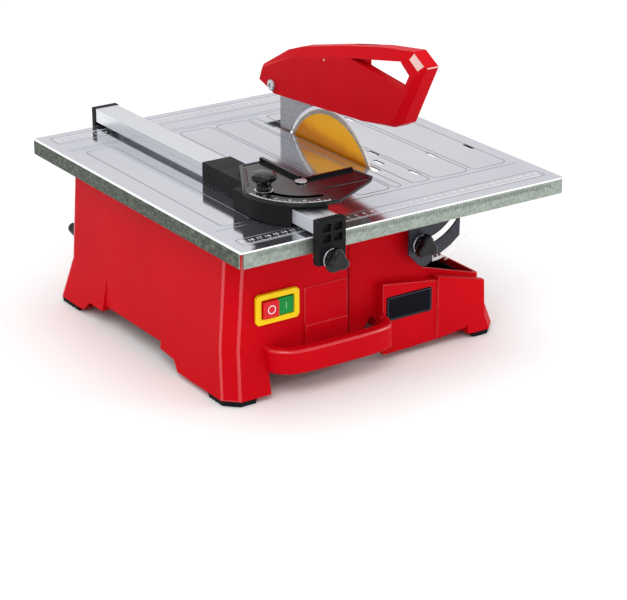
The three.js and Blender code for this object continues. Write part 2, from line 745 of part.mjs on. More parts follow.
function coolingFan([from, to]) {
  const hub = ring(SHAFT + GAP, 14, from, to, "x", AXIS, 28);
  const reach = MOTOR_RADIUS - 4;
  const vaneFoot = 12;
  const vaneLength = reach - 1 - vaneFoot;
  const disc = ring(vaneFoot, reach, to - 2, to, "x", AXIS, 28);
  const vanes = [];
  const count = 8;
  for (let i = 0; i < count; i += 1) {
    const vane = new THREE.BoxGeometry(to - 1 - from, 2, vaneLength);
    vane.translate((from + to - 1) / 2, 0, vaneFoot + vaneLength / 2);
    vanes.push(solid(vane.rotateX((2 * Math.PI * i) / count).translate(...AXIS)));
  }
  return join(hub, disc, ...vanes);
}

// ---- Riving knife and guard ---------------------------------------------------------------------
const KNIFE_RADIUS = BLADE_RADIUS + KNIFE_CLEARANCE;
const BRACKET = { y: [70, 112], z: [TABLE_HEIGHT - 76, TABLE_HEIGHT - 52] };

function rivingKnife() {
  const along = arc(BLADE_Y, BLADE_Z, KNIFE_RADIUS, 5, 67, 16);
  const outline = [
    [KNIFE_REAR, BRACKET.z[0]],
    [KNIFE_REAR, TABLE_HEIGHT + 40],
    [GUARD_PIVOT_Y + 12, TABLE_HEIGHT + 46],
    [GUARD_PIVOT_Y + 12, GUARD_PIVOT_Z + 8],
    [GUARD_PIVOT_Y - 22, GUARD_PIVOT_Z + 8],
    ...along.toReversed(),
    [along[0][0], BRACKET.z[0]],
  ];
  const half = KNIFE_THICKNESS / 2;
  const pivot = [0, GUARD_PIVOT_Y, GUARD_PIVOT_Z];
  const hole = rod(GUARD_SCREW + RUNNING, BLADE_X - 5, BLADE_X + 5, "x", pivot);
  return cut(prismX(outline, BLADE_X - half, BLADE_X + half), hole);
}

// A bracket on the partition that holds the knife's foot.
function knifeBracket() {
  const { y, z } = BRACKET;
  const base = WET_LEFT + GAP;
  const armEnd = BLADE_X - KNIFE_THICKNESS / 2 - GAP;
  return join(
    block([base, armEnd], y, [z[0] + 4, z[1] - 4]),
    block([base, base + 5], [y[0] - 8, y[1] + 8], [z[0] - 8, z[1] + 8]),
  );
}

// Points of the guard's side view as [y, height above the table].
function overTable(points) {
  return points.map(([y, rise]) => [y, TABLE_HEIGHT + rise]);
}

const GUARD_OUTLINE = overTable([
  [129, 53],
  [125, 72],
  [72, 101.5],
  [45, 111],
  [-42, 132],
  [-110, 146],
  [-167, 154],
  [-190, 141],
  [-152, 71],
  [-136, 63],
  [-83, 57],
  [12, 50],
  [95, 44],
]);

// The guard's flat sides, point for point with its outline: the top and the front are chamfered.
const GUARD_SIDE = overTable([
  [127, 54],
  [121, 69],
  [69, 92],
  [42, 100],
  [-42, 120],
  [-108, 133],
  [-158, 139.5],
  [-174, 128.5],
  [-142, 77],
  [-129, 65],
  [-83, 57],
  [12, 50],
  [95, 44],
]);

function bladeGuard() {
  const half = GUARD_WIDTH / 2;
  const handle = GUARD_HANDLE_WIDTH / 2;
  const body = join(
    prismX(GUARD_OUTLINE, BLADE_X - handle, BLADE_X + handle),
    loftX(GUARD_SIDE, GUARD_OUTLINE, BLADE_X - half, BLADE_X - handle),
    loftX(GUARD_OUTLINE, GUARD_SIDE, BLADE_X + handle, BLADE_X + half),
  );
  // the room for the blade is narrow at the top and wide lower down
  const hollow = overTable([
    [120, 40],
    [118, 68],
    [70, 92],
    [0, 100],
    [-60, 96],
    [-125, 84],
    [-140, 74],
    [-130, 50],
  ]);
  const room = GUARD_HANDLE_WIDTH / 2 - GUARD_WALL;
  const wide = overTable([[120, 40], [118, 66], [70, 84], [-40, 84], [-110, 72], [-118, 50]]);
  const handHole = overTable([[-57, 122], [-150, 140], [-166, 128.5], [-156, 111]]);
  // the thumb's side of the hole is cut lower
  const thumbSide = overTable([[-62, 112], [-62, 123], [-150, 140], [-166, 128.5], [-160, 99]]);
  return cut(
    body,
    prismX(hollow, BLADE_X - room, BLADE_X + room),
    prismX(wide, BLADE_X - half + GUARD_WALL, BLADE_X + half - GUARD_WALL),
    prismX(handHole, BLADE_X - half - 1, BLADE_X + half + 1),
    prismX(thumbSide, BLADE_X - 2, BLADE_X + half + 1),
    rod(GUARD_SCREW + GAP, BLADE_X - half - 1, BLADE_X + half + 1, "x", [0, GUARD_PIVOT_Y, GUARD_PIVOT_Z]),
  );
}

function buildGuard() {
  const group = subAssembly();
  add("riving_knife", rivingKnife(), greySteel, group);
  add("knife_bracket", knifeBracket(), castAluminium, group);
  add("blade_guard", bladeGuard(), redPlastic, group);
  const centre = [0, GUARD_PIVOT_Y, GUARD_PIVOT_Z];
  const outside = GUARD_WIDTH / 2 + GAP;
  const screw = join(
    rod(GUARD_SCREW, BLADE_X - outside - 1, BLADE_X + outside + 9, "x", centre),
    rod(7, BLADE_X - outside - 4, BLADE_X - outside, "x", centre),
  );
  add("guard_screw", screw, greySteel, group);
  const nutFace = BLADE_X + outside;
  const wingX = [nutFace + 2, nutFace + 7];
  const wingZ = [GUARD_PIVOT_Z - 3, GUARD_PIVOT_Z + 3];
  const nut = join(
    ring(GUARD_SCREW + GAP, 8, nutFace, nutFace + 8, "x", centre),
    block(wingX, [GUARD_PIVOT_Y + 7, GUARD_PIVOT_Y + 16], wingZ),
    block(wingX, [GUARD_PIVOT_Y - 16, GUARD_PIVOT_Y - 7], wingZ),
  );
  add("guard_nut", nut, blackPlastic, group);
}

// ---- Table and bevel plates ---------------------------------------------------------------------
function tableTop() {
  const halfX = TABLE_WIDTH / 2;
  const halfY = TABLE_DEPTH / 2;
  const low = TABLE_HEIGHT - SKIRT_HEIGHT;
  const inX = halfX - TABLE_SHEET;
  const inY = halfY - TABLE_SHEET;
  const longX = [-inX + CORNER_NOTCH, inX - CORNER_NOTCH];
  const longY = [-inY + CORNER_NOTCH, inY - CORNER_NOTCH];
  const slotFront = BLADE_Y - Math.sqrt(BLADE_RADIUS ** 2 - (TABLE_HEIGHT - BLADE_Z) ** 2) - 14;
  const knifeSlot = KNIFE_REAR + 25;
  const slotWidth = 9;
  const slotLeft = BLADE_X - 4;
  const skirt = [low, TABLE_UNDER + 0.5];
  const through = [TABLE_UNDER - 1, TABLE_HEIGHT + 1];
  let made = join(
    block([-halfX, halfX], [-halfY, halfY], [TABLE_UNDER, TABLE_HEIGHT]),
    block(longX, [-halfY, -inY], skirt),
    block(longX, [inY, halfY], skirt),
    block([-halfX, -inX], longY, skirt),
    block([inX, halfX], longY, skirt),
  );
  made = cut(
    made,
    block([slotLeft, slotLeft + slotWidth], [slotFront, knifeSlot], through),
    block([slotLeft - 4, slotLeft + 18], [knifeSlot - 22, knifeSlot], through),
  );
  // drain slots to the right of the blade
  const drains = [[136, 80], [136, -81], [189, -80.5], [83, -120], [71, -69], [85, -39.5]];
  for (const [x, y] of drains) {
    made = made.subtract(prismZ(slotY(x, y, 2.5, 19), ...through));
  }
  return made;
}

function bevelPlate(side) {
  const span = [side * BEVEL_PLANE - BEVEL_PLATE / 2, side * BEVEL_PLANE + BEVEL_PLATE / 2];
  const top = TABLE_UNDER - GAP;
  const outline = [
    [38, top],
    [36, TABLE_HEIGHT - 70],
    [50, TABLE_HEIGHT - 85],
    [59, TABLE_HEIGHT - 88],
    [77, TABLE_HEIGHT - 78],
    [93, TABLE_HEIGHT - 70],
    [105, TABLE_HEIGHT - 61],
    [106, top],
  ];
  const slotFrom = BEVEL_REST - 1;
  const slotTo = BEVEL_REST + BEVEL_TRAVEL + 1;
  const slot = arcSlot(BLADE_X, TABLE_HEIGHT, BEVEL_RADIUS, BEVEL_BOLT / 2 + 1.5, slotFrom, slotTo);
  const flangeY = [side * (BEVEL_PLANE - BEVEL_PLATE / 2), side * (BEVEL_PLANE + 20)].sort((a, b) => a - b);
  return cut(
    join(prismY(outline, ...span), block([38, 106], flangeY, [top - 2, top])),
    prismY(slot, span[0] - 1, span[1] + 1),
  );
}

const BEVEL_CENTRE = [BEVEL_BOLT_X, 0, BEVEL_BOLT_Z];

function bevelBoltHole(side) {
  const ends = [side * (BODY_FRONT - 20), side * (BODY_FRONT + 20)].sort((a, b) => a - b);
  return rod(BEVEL_BOLT / 2 + GAP, ...ends, "y", BEVEL_CENTRE, 20);
}

function buildTable() {
  const group = subAssembly();
  add("table_top", tableTop(), steelSheet, group);
  for (const [place, side] of [["front", -1], ["rear", 1]]) {
    add(`bevel_plate_${place}`, bevelPlate(side), darkPlate, group);
    // the bolt's head is inside the housing, its end in the knob
    const inside = BODY_FRONT - RECESS_DEPTH - BODY_WALL - GAP;
    const knobBack = BEVEL_PLANE + BEVEL_PLATE / 2 + GAP;
    const bolt = join(
      rod(BEVEL_BOLT / 2, inside - 1, knobBack + KNOB_LENGTH - 4, "y", [0, 0, 0], 20),
      rod(BEVEL_BOLT, inside - 5, inside, "y", [0, 0, 0], 20),
    );
    const clamp = facing(side, BEVEL_CENTRE);
    add(`bevel_bolt_${place}`, bolt, greySteel, clamp);
    const knob = lobedKnob(knobBack, BEVEL_KNOB_RADIUS, KNOB_LENGTH, BEVEL_BOLT / 2 + GAP);
    add(`bevel_knob_${place}`, knob, glossBlack, clamp);
  }
}

// ---- Fence --------------------------------------------------------------------------------------
function buildFence() {
  const group = subAssembly();
  const left = FENCE_X - FENCE_WIDTH / 2;
  const right = FENCE_X + FENCE_WIDTH / 2;
  const outside = block([left, right], [FENCE_FRONT, FENCE_REAR], [FENCE_BOTTOM, FENCE_TOP]);
  const hollow = block(
    [left + FENCE_WALL, right - FENCE_WALL],
    [FENCE_FRONT - 1, FENCE_REAR + 1],
    [FENCE_BOTTOM + FENCE_WALL, FENCE_TOP - FENCE_WALL],
  );
  add("fence_rail", cut(outside, hollow), aluminium, group);

  // end blocks: a face plate over the rail's end and a spigot inside the rail
  const spigotX = [left + FENCE_WALL + GAP, right - FENCE_WALL - GAP];
  const spigotZ = [FENCE_BOTTOM + FENCE_WALL + GAP, FENCE_TOP - FENCE_WALL - GAP];
  const capFront = FENCE_REAR + GAP;
  const capLow = TABLE_HEIGHT - SKIRT_HEIGHT - 4;
  const cap = join(
    block([left - 1, right + 1], [capFront, capFront + 8], [capLow, FENCE_TOP + 0.6]),
    block(spigotX, [capFront - 14, capFront + 1], spigotZ),
    block([left + 6, right - 6], [TABLE_DEPTH / 2 - 12, capFront + 1], [capLow, capLow + 3]),
  );
  add("fence_rear_cap", cap, blackPlastic, group);

  const clampBack = FENCE_FRONT - GAP;
  const face = [left - 1, right + 3];
  let clamp = join(
    block(face, [CLAMP_FRONT, clampBack], [TABLE_HEIGHT - CLAMP_DROP, FENCE_TOP]),
    block(spigotX, [clampBack - 1, clampBack + 14], spigotZ),
  );
  // four recesses in a grid on the upper half of its face
  const middle = (face[0] + face[1]) / 2;
  for (const column of [-1, 1]) {
    for (const row of [0, 1]) {
      const x = middle + column * 7;
      const z = TABLE_HEIGHT + 12 - row * 11.5;
      const pocket = block([x - 5.2, x + 5.2], [CLAMP_FRONT - 1, CLAMP_FRONT + 4], [z - 4.2, z + 4.2]);
      clamp = clamp.subtract(pocket);
    }
  }
  const knobCentre = [FENCE_X + 2, 0, TABLE_HEIGHT - CLAMP_KNOB_DROP];
  const screwRadius = 3;
  const bore = rod(screwRadius + RUNNING, CLAMP_FRONT - 1, clampBack + 1, "y", knobCentre, 20);
  add("fence_clamp", cut(clamp, bore), blackPlastic, group);

  // the jaw reaches under the front skirt and grips it from behind
  const jawFront = clampBack + GAP + 0.5;
  const skirtBack = -TABLE_DEPTH / 2 + TABLE_SHEET;
  const jawX = [FENCE_X - 8, FENCE_X + 12];
  const below = TABLE_HEIGHT - SKIRT_HEIGHT - 1;
  const jaw = join(
    block(jawX, [jawFront, skirtBack + 6], [below - 8, below]),
    block(jawX, [skirtBack + GAP + 0.2, skirtBack + 6], [below - 8, TABLE_HEIGHT - 8]),
  );
  const jawHole = rod(screwRadius + RUNNING, jawFront - 1, skirtBack + 7, "y", knobCentre, 20);
  add("clamp_jaw", cut(jaw, jawHole), greySteel, group);
  const knobBack = CLAMP_FRONT - GAP;
  const screw = rod(screwRadius, knobBack - KNOB_LENGTH + 4, skirtBack + 10, "y", knobCentre, 20);
  add("clamp_screw", screw, greySteel, group);
  const knob = lobedKnob(-knobBack, KNOB_RADIUS, KNOB_LENGTH, screwRadius + GAP);
  add("fence_knob", knob, glossBlack, facing(-1, knobCentre));
}

// ---- Mitre protractor ---------------------------------------------------------------------------
const SLEEVE_TOP = FENCE_TOP + SLIDING + SLEEVE_WALL;
const PLATE_BOTTOM = SLEEVE_TOP + SLIDING;
const PLATE_TOP = PLATE_BOTTOM + MITRE_PLATE;
const PIVOT_X = FENCE_X + MITRE_PIVOT_X;

function buildMitre() {
  const group = subAssembly();
  const play = SLIDING / 2 + GAP;
  const inX = [FENCE_X - FENCE_WIDTH / 2 - play, FENCE_X + FENCE_WIDTH / 2 + play];
  const outX = [inX[0] - SLEEVE_WALL, inX[1] + SLEEVE_WALL];
  const low = TABLE_HEIGHT + 1;
  const sleeveY = [MITRE_PIVOT_Y + 22, MITRE_PIVOT_Y + 22 + SLEEVE_LENGTH];
  const pivot = [PIVOT_X, MITRE_PIVOT_Y, 0];
  // the base under the plate is a drum sector round the pivot, with the rail's channel cut through it
  const rim = MITRE_RADIUS - 4;
  const sector = [
    ...arc(PIVOT_X, MITRE_PIVOT_Y, rim, 180, 262, 16),
    [PIVOT_X + 6, MITRE_PIVOT_Y - 20],
    [PIVOT_X + 10, MITRE_PIVOT_Y + 10],
    [PIVOT_X + 10, sleeveY[0] + 10],
    [PIVOT_X - rim, sleeveY[0] + 10],
  ];
  const channel = block(inX, [-TABLE_DEPTH, TABLE_DEPTH], [low - 5, FENCE_TOP + SLIDING]);
  const studRadius = MITRE_STUD;
  const studX = PIVOT_X - MITRE_SLOT_RADIUS;
  const studHole = rod(studRadius + GAP, low - 5, SLEEVE_TOP + 5, "z", [studX, MITRE_PIVOT_Y, 0], 20);
  const base = cut(
    join(prismZ(sector, low, SLEEVE_TOP), block(outX, sleeveY, [low, SLEEVE_TOP])),
    channel,
    rod(4 + GAP, low - 5, SLEEVE_TOP + 5, "z", pivot, 20),
    studHole,
  );
  add("mitre_base", base, blackPlastic, group);

  add("mitre_protractor", protractor(), glossBlack, group);
  const pin = join(
    rod(4, low + 1, PLATE_TOP + 1, "z", pivot, 20),
    rod(6.5, PLATE_TOP + GAP, PLATE_TOP + 2.2, "z", pivot, 20),
  );
  add("mitre_pivot", pin, greySteel, group);
  const stud = rod(studRadius, low + 1, PLATE_TOP + 14, "z", [studX, MITRE_PIVOT_Y, 0], 20);
  add("mitre_stud", stud, greySteel, group);
  const profile = [
    [studRadius + GAP, 0],
    [10, 0],
    [10, 2],
    [8, 4],
    [9, 9],
    [14.5, 13],
    [15, 17],
    [10.5, 19.5],
    [0, 20],
    [0, 16],
    [studRadius + GAP, 16],
    [studRadius + GAP, 0],
  ];
  const knob = turned(profile, "z", [studX, MITRE_PIVOT_Y, PLATE_TOP + GAP], 30);
  const flutes = [];
  const count = 6;
  for (let i = 0; i < count; i += 1) {
    const angle = (2 * Math.PI * i) / count;
    const at = [studX + 17.5 * Math.cos(angle), MITRE_PIVOT_Y + 17.5 * Math.sin(angle), 0];
    flutes.push(rod(4, PLATE_TOP + 9, PLATE_TOP + 30, "z", at, 12));
  }
  add("mitre_knob", cut(knob, ...flutes), glossBlack, group);
}

// A quarter disc with an arc slot, and two straight stops along its outer edges.
function protractor() {
  const x = PIVOT_X;
  const y = MITRE_PIVOT_Y;
  const armReach = 84;
  const outline = [
    [x + 6, y + armReach],
    [x - 24, y + armReach],
    ...arc(x, y, MITRE_RADIUS, 174, 272, 20),
    [x + 66, y - 34],
    [x + 74, y - 26],
    [x + 70, y + 4],
    [x + 6, y + 8],
  ];
  const ribs = join(
    block([x + 2, x + 6], [y + 8, y + armReach], [PLATE_TOP - 1, PLATE_TOP + 4]),
    block([x + 9, x + 68], [y + 2, y + 5], [PLATE_TOP - 1, PLATE_TOP + 3]),
  );
  const slotFrom = 180 - 2;
  const slot = arcSlot(x, y, MITRE_SLOT_RADIUS, 4, slotFrom, 180 + MITRE_TRAVEL + 22);
  return cut(
    join(prismZ(outline, PLATE_BOTTOM, PLATE_TOP), ribs),
    prismZ(slot, PLATE_BOTTOM - 1, PLATE_TOP + 1),
    rod(4 + RUNNING, PLATE_BOTTOM - 1, PLATE_TOP + 6, "z", [x, y, 0], 20),
  );
}

// ---- Assembly -----------------------------------------------------------------------------------
const base = subAssembly();
add("housing", housing(), redPlastic, base);
add("carry_handle", carryHandle(), redPlastic, base);
add("water_tray", waterTray(), blackPlastic, base);
buildSwitch();
buildTrim();
buildMotor();
buildGuard();
buildTable();
buildFence();
buildMitre();

// The origin is on the ground, under the middle of the whole.
const extent = new THREE.Box3().setFromObject(saw);
const middle = extent.getCenter(new THREE.Vector3());
saw.position.set(-middle.x, -middle.y, -extent.min.z);

export default saw;
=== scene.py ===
"""A bench-top wet tile saw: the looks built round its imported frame. Metres, +Z up, the front towards -Y."""
import json
import math

import bmesh
import bpy
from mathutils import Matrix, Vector

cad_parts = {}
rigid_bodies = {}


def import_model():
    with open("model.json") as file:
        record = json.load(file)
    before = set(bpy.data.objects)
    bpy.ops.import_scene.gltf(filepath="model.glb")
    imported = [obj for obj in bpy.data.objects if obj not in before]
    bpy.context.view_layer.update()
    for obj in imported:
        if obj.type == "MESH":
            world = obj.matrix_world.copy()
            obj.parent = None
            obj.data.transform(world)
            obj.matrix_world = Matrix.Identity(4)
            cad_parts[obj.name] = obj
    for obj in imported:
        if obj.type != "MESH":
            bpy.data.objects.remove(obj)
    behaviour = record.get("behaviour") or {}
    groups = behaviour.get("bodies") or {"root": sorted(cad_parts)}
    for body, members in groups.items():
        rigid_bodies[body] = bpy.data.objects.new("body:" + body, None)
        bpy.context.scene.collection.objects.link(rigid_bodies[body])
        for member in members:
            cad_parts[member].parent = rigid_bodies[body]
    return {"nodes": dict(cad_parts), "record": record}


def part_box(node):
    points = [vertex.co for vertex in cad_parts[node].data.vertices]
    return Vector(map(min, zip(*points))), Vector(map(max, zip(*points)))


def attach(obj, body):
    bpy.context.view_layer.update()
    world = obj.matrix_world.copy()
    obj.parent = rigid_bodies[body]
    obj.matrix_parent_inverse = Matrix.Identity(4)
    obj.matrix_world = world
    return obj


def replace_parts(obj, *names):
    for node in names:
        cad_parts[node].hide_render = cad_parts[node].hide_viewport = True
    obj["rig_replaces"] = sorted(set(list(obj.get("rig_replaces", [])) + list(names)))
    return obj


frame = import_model()
NODES = frame["nodes"]
BODY_OF = {node: body for body, nodes in frame["record"]["behaviour"]["bodies"].items() for node in nodes}
SLOT_OF = {row["node"]: row["material_slot"] for row in frame["record"]["subparts"]}
MM = 0.001


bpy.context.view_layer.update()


def box_mm(node):
    low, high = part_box(node)
    return Vector(low) / MM, Vector(high) / MM


# ---- Materials ------------------------------------------------------------------------------------
def rgb(red, green, blue):
    """A screen colour, 0 to 255, as linear light."""
    def linear(value):
        value /= 255
        return value / 12.92 if value <= 0.04045 else ((value + 0.055) / 1.055) ** 2.4
    return (linear(red), linear(green), linear(blue), 1.0)


def scaled(colour, factor):
    return tuple(min(1.0, c * factor) for c in colour[:3]) + (1.0,)


class Finish:
    """A procedural material, with the few nodes that its surface needs."""

    def __init__(self, name):
        self.material = bpy.data.materials.new(name)
        self.material.use_nodes = True
        self.tree = self.material.node_tree
        self.shader = self.tree.nodes["Principled BSDF"]
        self.place = self.tree.nodes.new("ShaderNodeTexCoord").outputs["Object"]

    def put(self, **values):
        for name, value in values.items():
            socket = self.shader.inputs[name.replace("_", " ")]
            if isinstance(value, bpy.types.NodeSocket):
                self.tree.links.new(value, socket)
            else:
                socket.default_value = value
        return self

    def node(self, kind, inputs, **settings):
        made = self.tree.nodes.new(kind)
        for key, value in settings.items():
            setattr(made, key, value)
        for key, value in inputs.items():
            if isinstance(value, bpy.types.NodeSocket):
                self.tree.links.new(value, made.inputs[key])
            else:
                made.inputs[key].default_value = value
        return made

    def stretched(self, scale):
        """The place on the object, squeezed along the way that a grain runs."""
        return self.node("ShaderNodeMapping", {"Vector": self.place, "Scale": scale}).outputs[0]

    def noise(self, scale, detail=3.0, rough=0.55, place=None):
        inputs = {"Vector": place or self.place, "Scale": scale, "Detail": detail, "Roughness": rough}
        return self.node("ShaderNodeTexNoise", inputs).outputs[0]

    def cells(self, scale, place):
        return self.node("ShaderNodeTexVoronoi", {"Vector": place, "Scale": scale})

    def maths(self, kind, *terms):
        return self.node("ShaderNodeMath", dict(enumerate(terms)), operation=kind).outputs[0]

    def ramp(self, factor, *stops):
        made = self.node("ShaderNodeValToRGB", {"Fac": factor})
        elements = made.color_ramp.elements
        while len(elements) < len(stops):
            elements.new(0.5)
        for element, (position, colour) in zip(elements, stops):
            element.position = position
            element.color = colour
        return made.outputs[0]

    def between(self, factor, low, high, start=0.3, end=0.7):
        inputs = {"Value": factor, "From Min": start, "From Max": end, "To Min": low, "To Max": high}
        return self.node("ShaderNodeMapRange", inputs).outputs[0]

    def bump(self, height, strength, depth, normal=None):
        inputs = {"Height": height, "Strength": strength, "Distance": depth}
        if normal:
            inputs["Normal"] = normal
        return self.node("ShaderNodeBump", inputs).outputs[0]


def moulded(name, colour, rough, grain=1400, depth=0.00006, coat=0.0, spread=0.06, shine=0.22):
    """Injection-moulded plastic: a fine grain, and a faint unevenness over the whole."""
    made = Finish(name)
    cloud = made.noise(9, 4)
    fine = made.noise(grain, 2)
    base = made.ramp(cloud, (0.3, scaled(colour, 1 - spread)), (0.7, scaled(colour, 1 + spread)))
    waves = made.bump(made.noise(45, 2), 0.12, 0.0006)
    made.put(Base_Color=base, Roughness=made.between(made.noise(70, 3), rough - 0.05, rough + 0.06),
             Normal=made.bump(fine, 0.25, depth, waves), Coat_Weight=coat, Coat_Roughness=0.12,
             Specular_IOR_Level=shine)
    return made.material


def metal(name, colour, rough, stretch=(1, 1, 1), grain=700, depth=0.00004, metallic=1.0, spread=0.05,
          swing=0.07):
    """Bare or plated metal whose grain runs where stretch is small."""
    made = Finish(name)
    lines = made.noise(grain, 3, place=made.stretched(stretch))
    cloud = made.noise(14, 4)
    base = made.ramp(cloud, (0.3, scaled(colour, 1 - spread)), (0.7, scaled(colour, 1 + spread)))
    made.put(Base_Color=base, Metallic=metallic, Roughness=made.between(lines, rough - swing, rough + swing),
             Normal=made.bump(lines, 0.3, depth))
    return made.material


def mirror_sheet(name):
    """Bright zinc-coated sheet, almost a mirror, with faint long waves from rolling."""
    made = Finish(name)
    cloud = made.noise(7, 3, place=made.stretched((1, 0.35, 1)))
    rolled = made.noise(500, 3, place=made.stretched((1, 0.02, 1)))
    waves = made.noise(22, 2, place=made.stretched((1, 0.3, 1)))
    base = made.ramp(cloud, (0.25, rgb(206, 207, 216)), (0.75, rgb(224, 225, 232)))
    made.put(Base_Color=base, Metallic=0.96, Roughness=made.between(rolled, 0.07, 0.13),
             Normal=made.bump(rolled, 0.08, 0.00001, made.bump(waves, 0.07, 0.001)))
    return made.material


def spangled(name, dark, light, rough=0.42):
    """The sheet's folded skirt, where the zinc shows its crystals and a greenish grey."""
    made = Finish(name)
    cell = made.cells(210, made.stretched((1, 1, 1.4)))
    mix = made.noise(60, 5, 0.7)
    tone = made.maths("MULTIPLY", cell.outputs["Distance"], mix)
    base = made.ramp(tone, (0.05, dark), (0.45, light))
    made.put(Base_Color=base, Metallic=0.75, Roughness=made.between(mix, rough - 0.08, rough + 0.12),
             Normal=made.bump(mix, 0.25, 0.00015))
    return made.material


def gold_steel(name, centre, table_top):
    """Gold-coloured blade steel, polished in fine rings round its centre, with painted shade that makes it
    browner near the table and towards the back.
    """
    made = Finish(name)
    parts = made.node("ShaderNodeSeparateXYZ", {0: made.place}).outputs
    away = made.node("ShaderNodeVectorMath", {0: made.place, 1: centre},
                     operation="DISTANCE").outputs["Value"]
    outwards = made.maths("MULTIPLY", away, 700.0)
    rings = made.noise(1.0, 4, 0.6, made.node("ShaderNodeCombineXYZ", {0: outwards}).outputs[0])
    # painted shade: the gold is darkened near the table and towards the back
    rise = made.maths("SUBTRACT", parts[2], table_top)
    shade_lean = made.maths("MULTIPLY_ADD", parts[1], -0.12, rise)
    height = made.maths("MULTIPLY_ADD", made.noise(40, 3), 0.012, shade_lean)
    tone = made.between(height, 0.0, 1.0, 0.004, 0.05)
    base = made.ramp(tone, (0.0, rgb(196, 118, 14)), (0.18, rgb(206, 122, 10)), (0.42, rgb(246, 168, 10)),
                     (1.0, rgb(254, 192, 40)))
    made.put(Base_Color=base, Metallic=0.25, Roughness=made.between(rings, 0.34, 0.46),
             Specular_IOR_Level=0.2, Normal=made.bump(rings, 0.15, 0.00003))
    return made.material


def gritty(name, dark, light, scale, rough, metallic=0.6, depth=0.0003):
    """A rough sintered or rolled surface with visible grains."""
    made = Finish(name)
    grains = made.noise(scale, 5, 0.75)
    base = made.ramp(grains, (0.35, dark), (0.65, light))
    made.put(Base_Color=base, Metallic=metallic, Roughness=made.between(grains, rough - 0.1, rough + 0.1),
             Normal=made.bump(grains, 0.5, depth))
    return made.material


BLADE_LOW, BLADE_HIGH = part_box("saw_blade")
BLADE_CENTRE = (BLADE_LOW + BLADE_HIGH) / 2
FINISHES = {
    "red_plastic": moulded("red_plastic", rgb(196, 5, 20), 0.42, shine=0.04),
    "black_plastic": moulded("black_plastic", rgb(22, 22, 25), 0.5, grain=900, spread=0.15, shine=0.12),
    "gloss_black": moulded("gloss_black", rgb(12, 12, 15), 0.2, grain=500, depth=0.00002, coat=0.2,
                           spread=0.1),
    "yellow_plastic": moulded("yellow_plastic", rgb(244, 206, 8), 0.42),
    "stop_red": moulded("stop_red", rgb(214, 8, 26), 0.3, coat=0.15),
    "start_green": moulded("start_green", rgb(0, 138, 54), 0.36),
    "rubber": moulded("rubber", rgb(16, 16, 17), 0.75, grain=700, depth=0.0002, spread=0.2, shine=0.15),
    "label": moulded("label", rgb(9, 10, 20), 0.28, grain=600, spread=0.1, shine=0.06),
    "table_sheet": mirror_sheet("table_sheet"),
    "plated_steel": metal("plated_steel", rgb(196, 199, 202), 0.26),
    "knife_steel": gritty("knife_steel", rgb(146, 148, 151), rgb(196, 198, 200), 420, 0.42, 0.8, 0.00012),
    "dark_plate": gritty("dark_plate", rgb(34, 36, 44), rgb(58, 61, 72), 260, 0.4, 0.3, 0.0001),
    "aluminium": metal("aluminium", rgb(226, 228, 232), 0.3, (1, 0.006, 1), grain=420, depth=0.00001,
                       spread=0.015, swing=0.03),
    "cast_aluminium": gritty("cast_aluminium", rgb(148, 150, 152), rgb(186, 188, 190), 300, 0.5, 0.85),
    "laminations": metal("laminations", rgb(104, 108, 112), 0.5, (1, 0.02, 0.02), 1500, 0.0002),
    "blade_gold": gold_steel("blade_gold", BLADE_CENTRE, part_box("table_top")[1][2]),
}
SHADED_RED = moulded("shaded_red", rgb(96, 6, 12), 0.6, shine=0.02)
# the rounded edges' red: glossier, and painted lighter than the body's red as a highlight
RED_EDGE_HIGHLIGHT = moulded("red_edge_painted_highlight", rgb(206, 22, 34), 0.24, coat=0.5, shine=0.5)
# lit and shaded copies of the skirt's zinc: the front's painted lighter, the sides' painted darker as shade
SKIRT_PAINTED_LIT = spangled("skirt_painted_lit", rgb(136, 146, 138), rgb(166, 175, 166))
SKIRT_PAINTED_SHADE = spangled("skirt_painted_shade", rgb(34, 42, 40), rgb(96, 106, 92))
# the table's rounded top rim, painted near-white as a highlight
RIM_PAINTED_HIGHLIGHT = metal("rim_painted_highlight", rgb(248, 249, 250), 0.35, metallic=0.2)
DIAMOND_RIM = gritty("diamond_rim", rgb(96, 86, 82), rgb(214, 206, 196), 700, 0.55, 0.45)
CUTTING_EDGE = gritty("cutting_edge", rgb(190, 184, 172), rgb(246, 240, 226), 1600, 0.5, 0.3)
WHITE_PRINT = moulded("white_print", rgb(244, 245, 247), 0.45, spread=0.02)
DARK_PRINT = moulded("dark_print", rgb(60, 62, 66), 0.5, spread=0.05)
PALE_GREEN = moulded("pale_green", rgb(150, 214, 168), 0.45, spread=0.02)
GROOVE_SHADE = metal("groove_shade", rgb(150, 152, 160), 0.34)
# the pale pink of the guard's sticker, also painted along the guard's front edge as a highlight
STICKER_AND_HIGHLIGHT_PINK = moulded("sticker_and_painted_highlight", rgb(232, 190, 182), 0.5, spread=0.05)


# ---- Pieces ---------------------------------------------------------------------------------------
def smooth(mesh, crease=38):
    """Smooth shading that keeps every edge sharper than the crease angle, in degrees."""
    made = bmesh.new()
    made.from_mesh(mesh)
    for face in made.faces:
        face.smooth = True
    for edge in made.edges:
        edge.smooth = edge.calc_face_angle(0.0) < math.radians(crease)
    made.to_mesh(mesh)
    made.free()


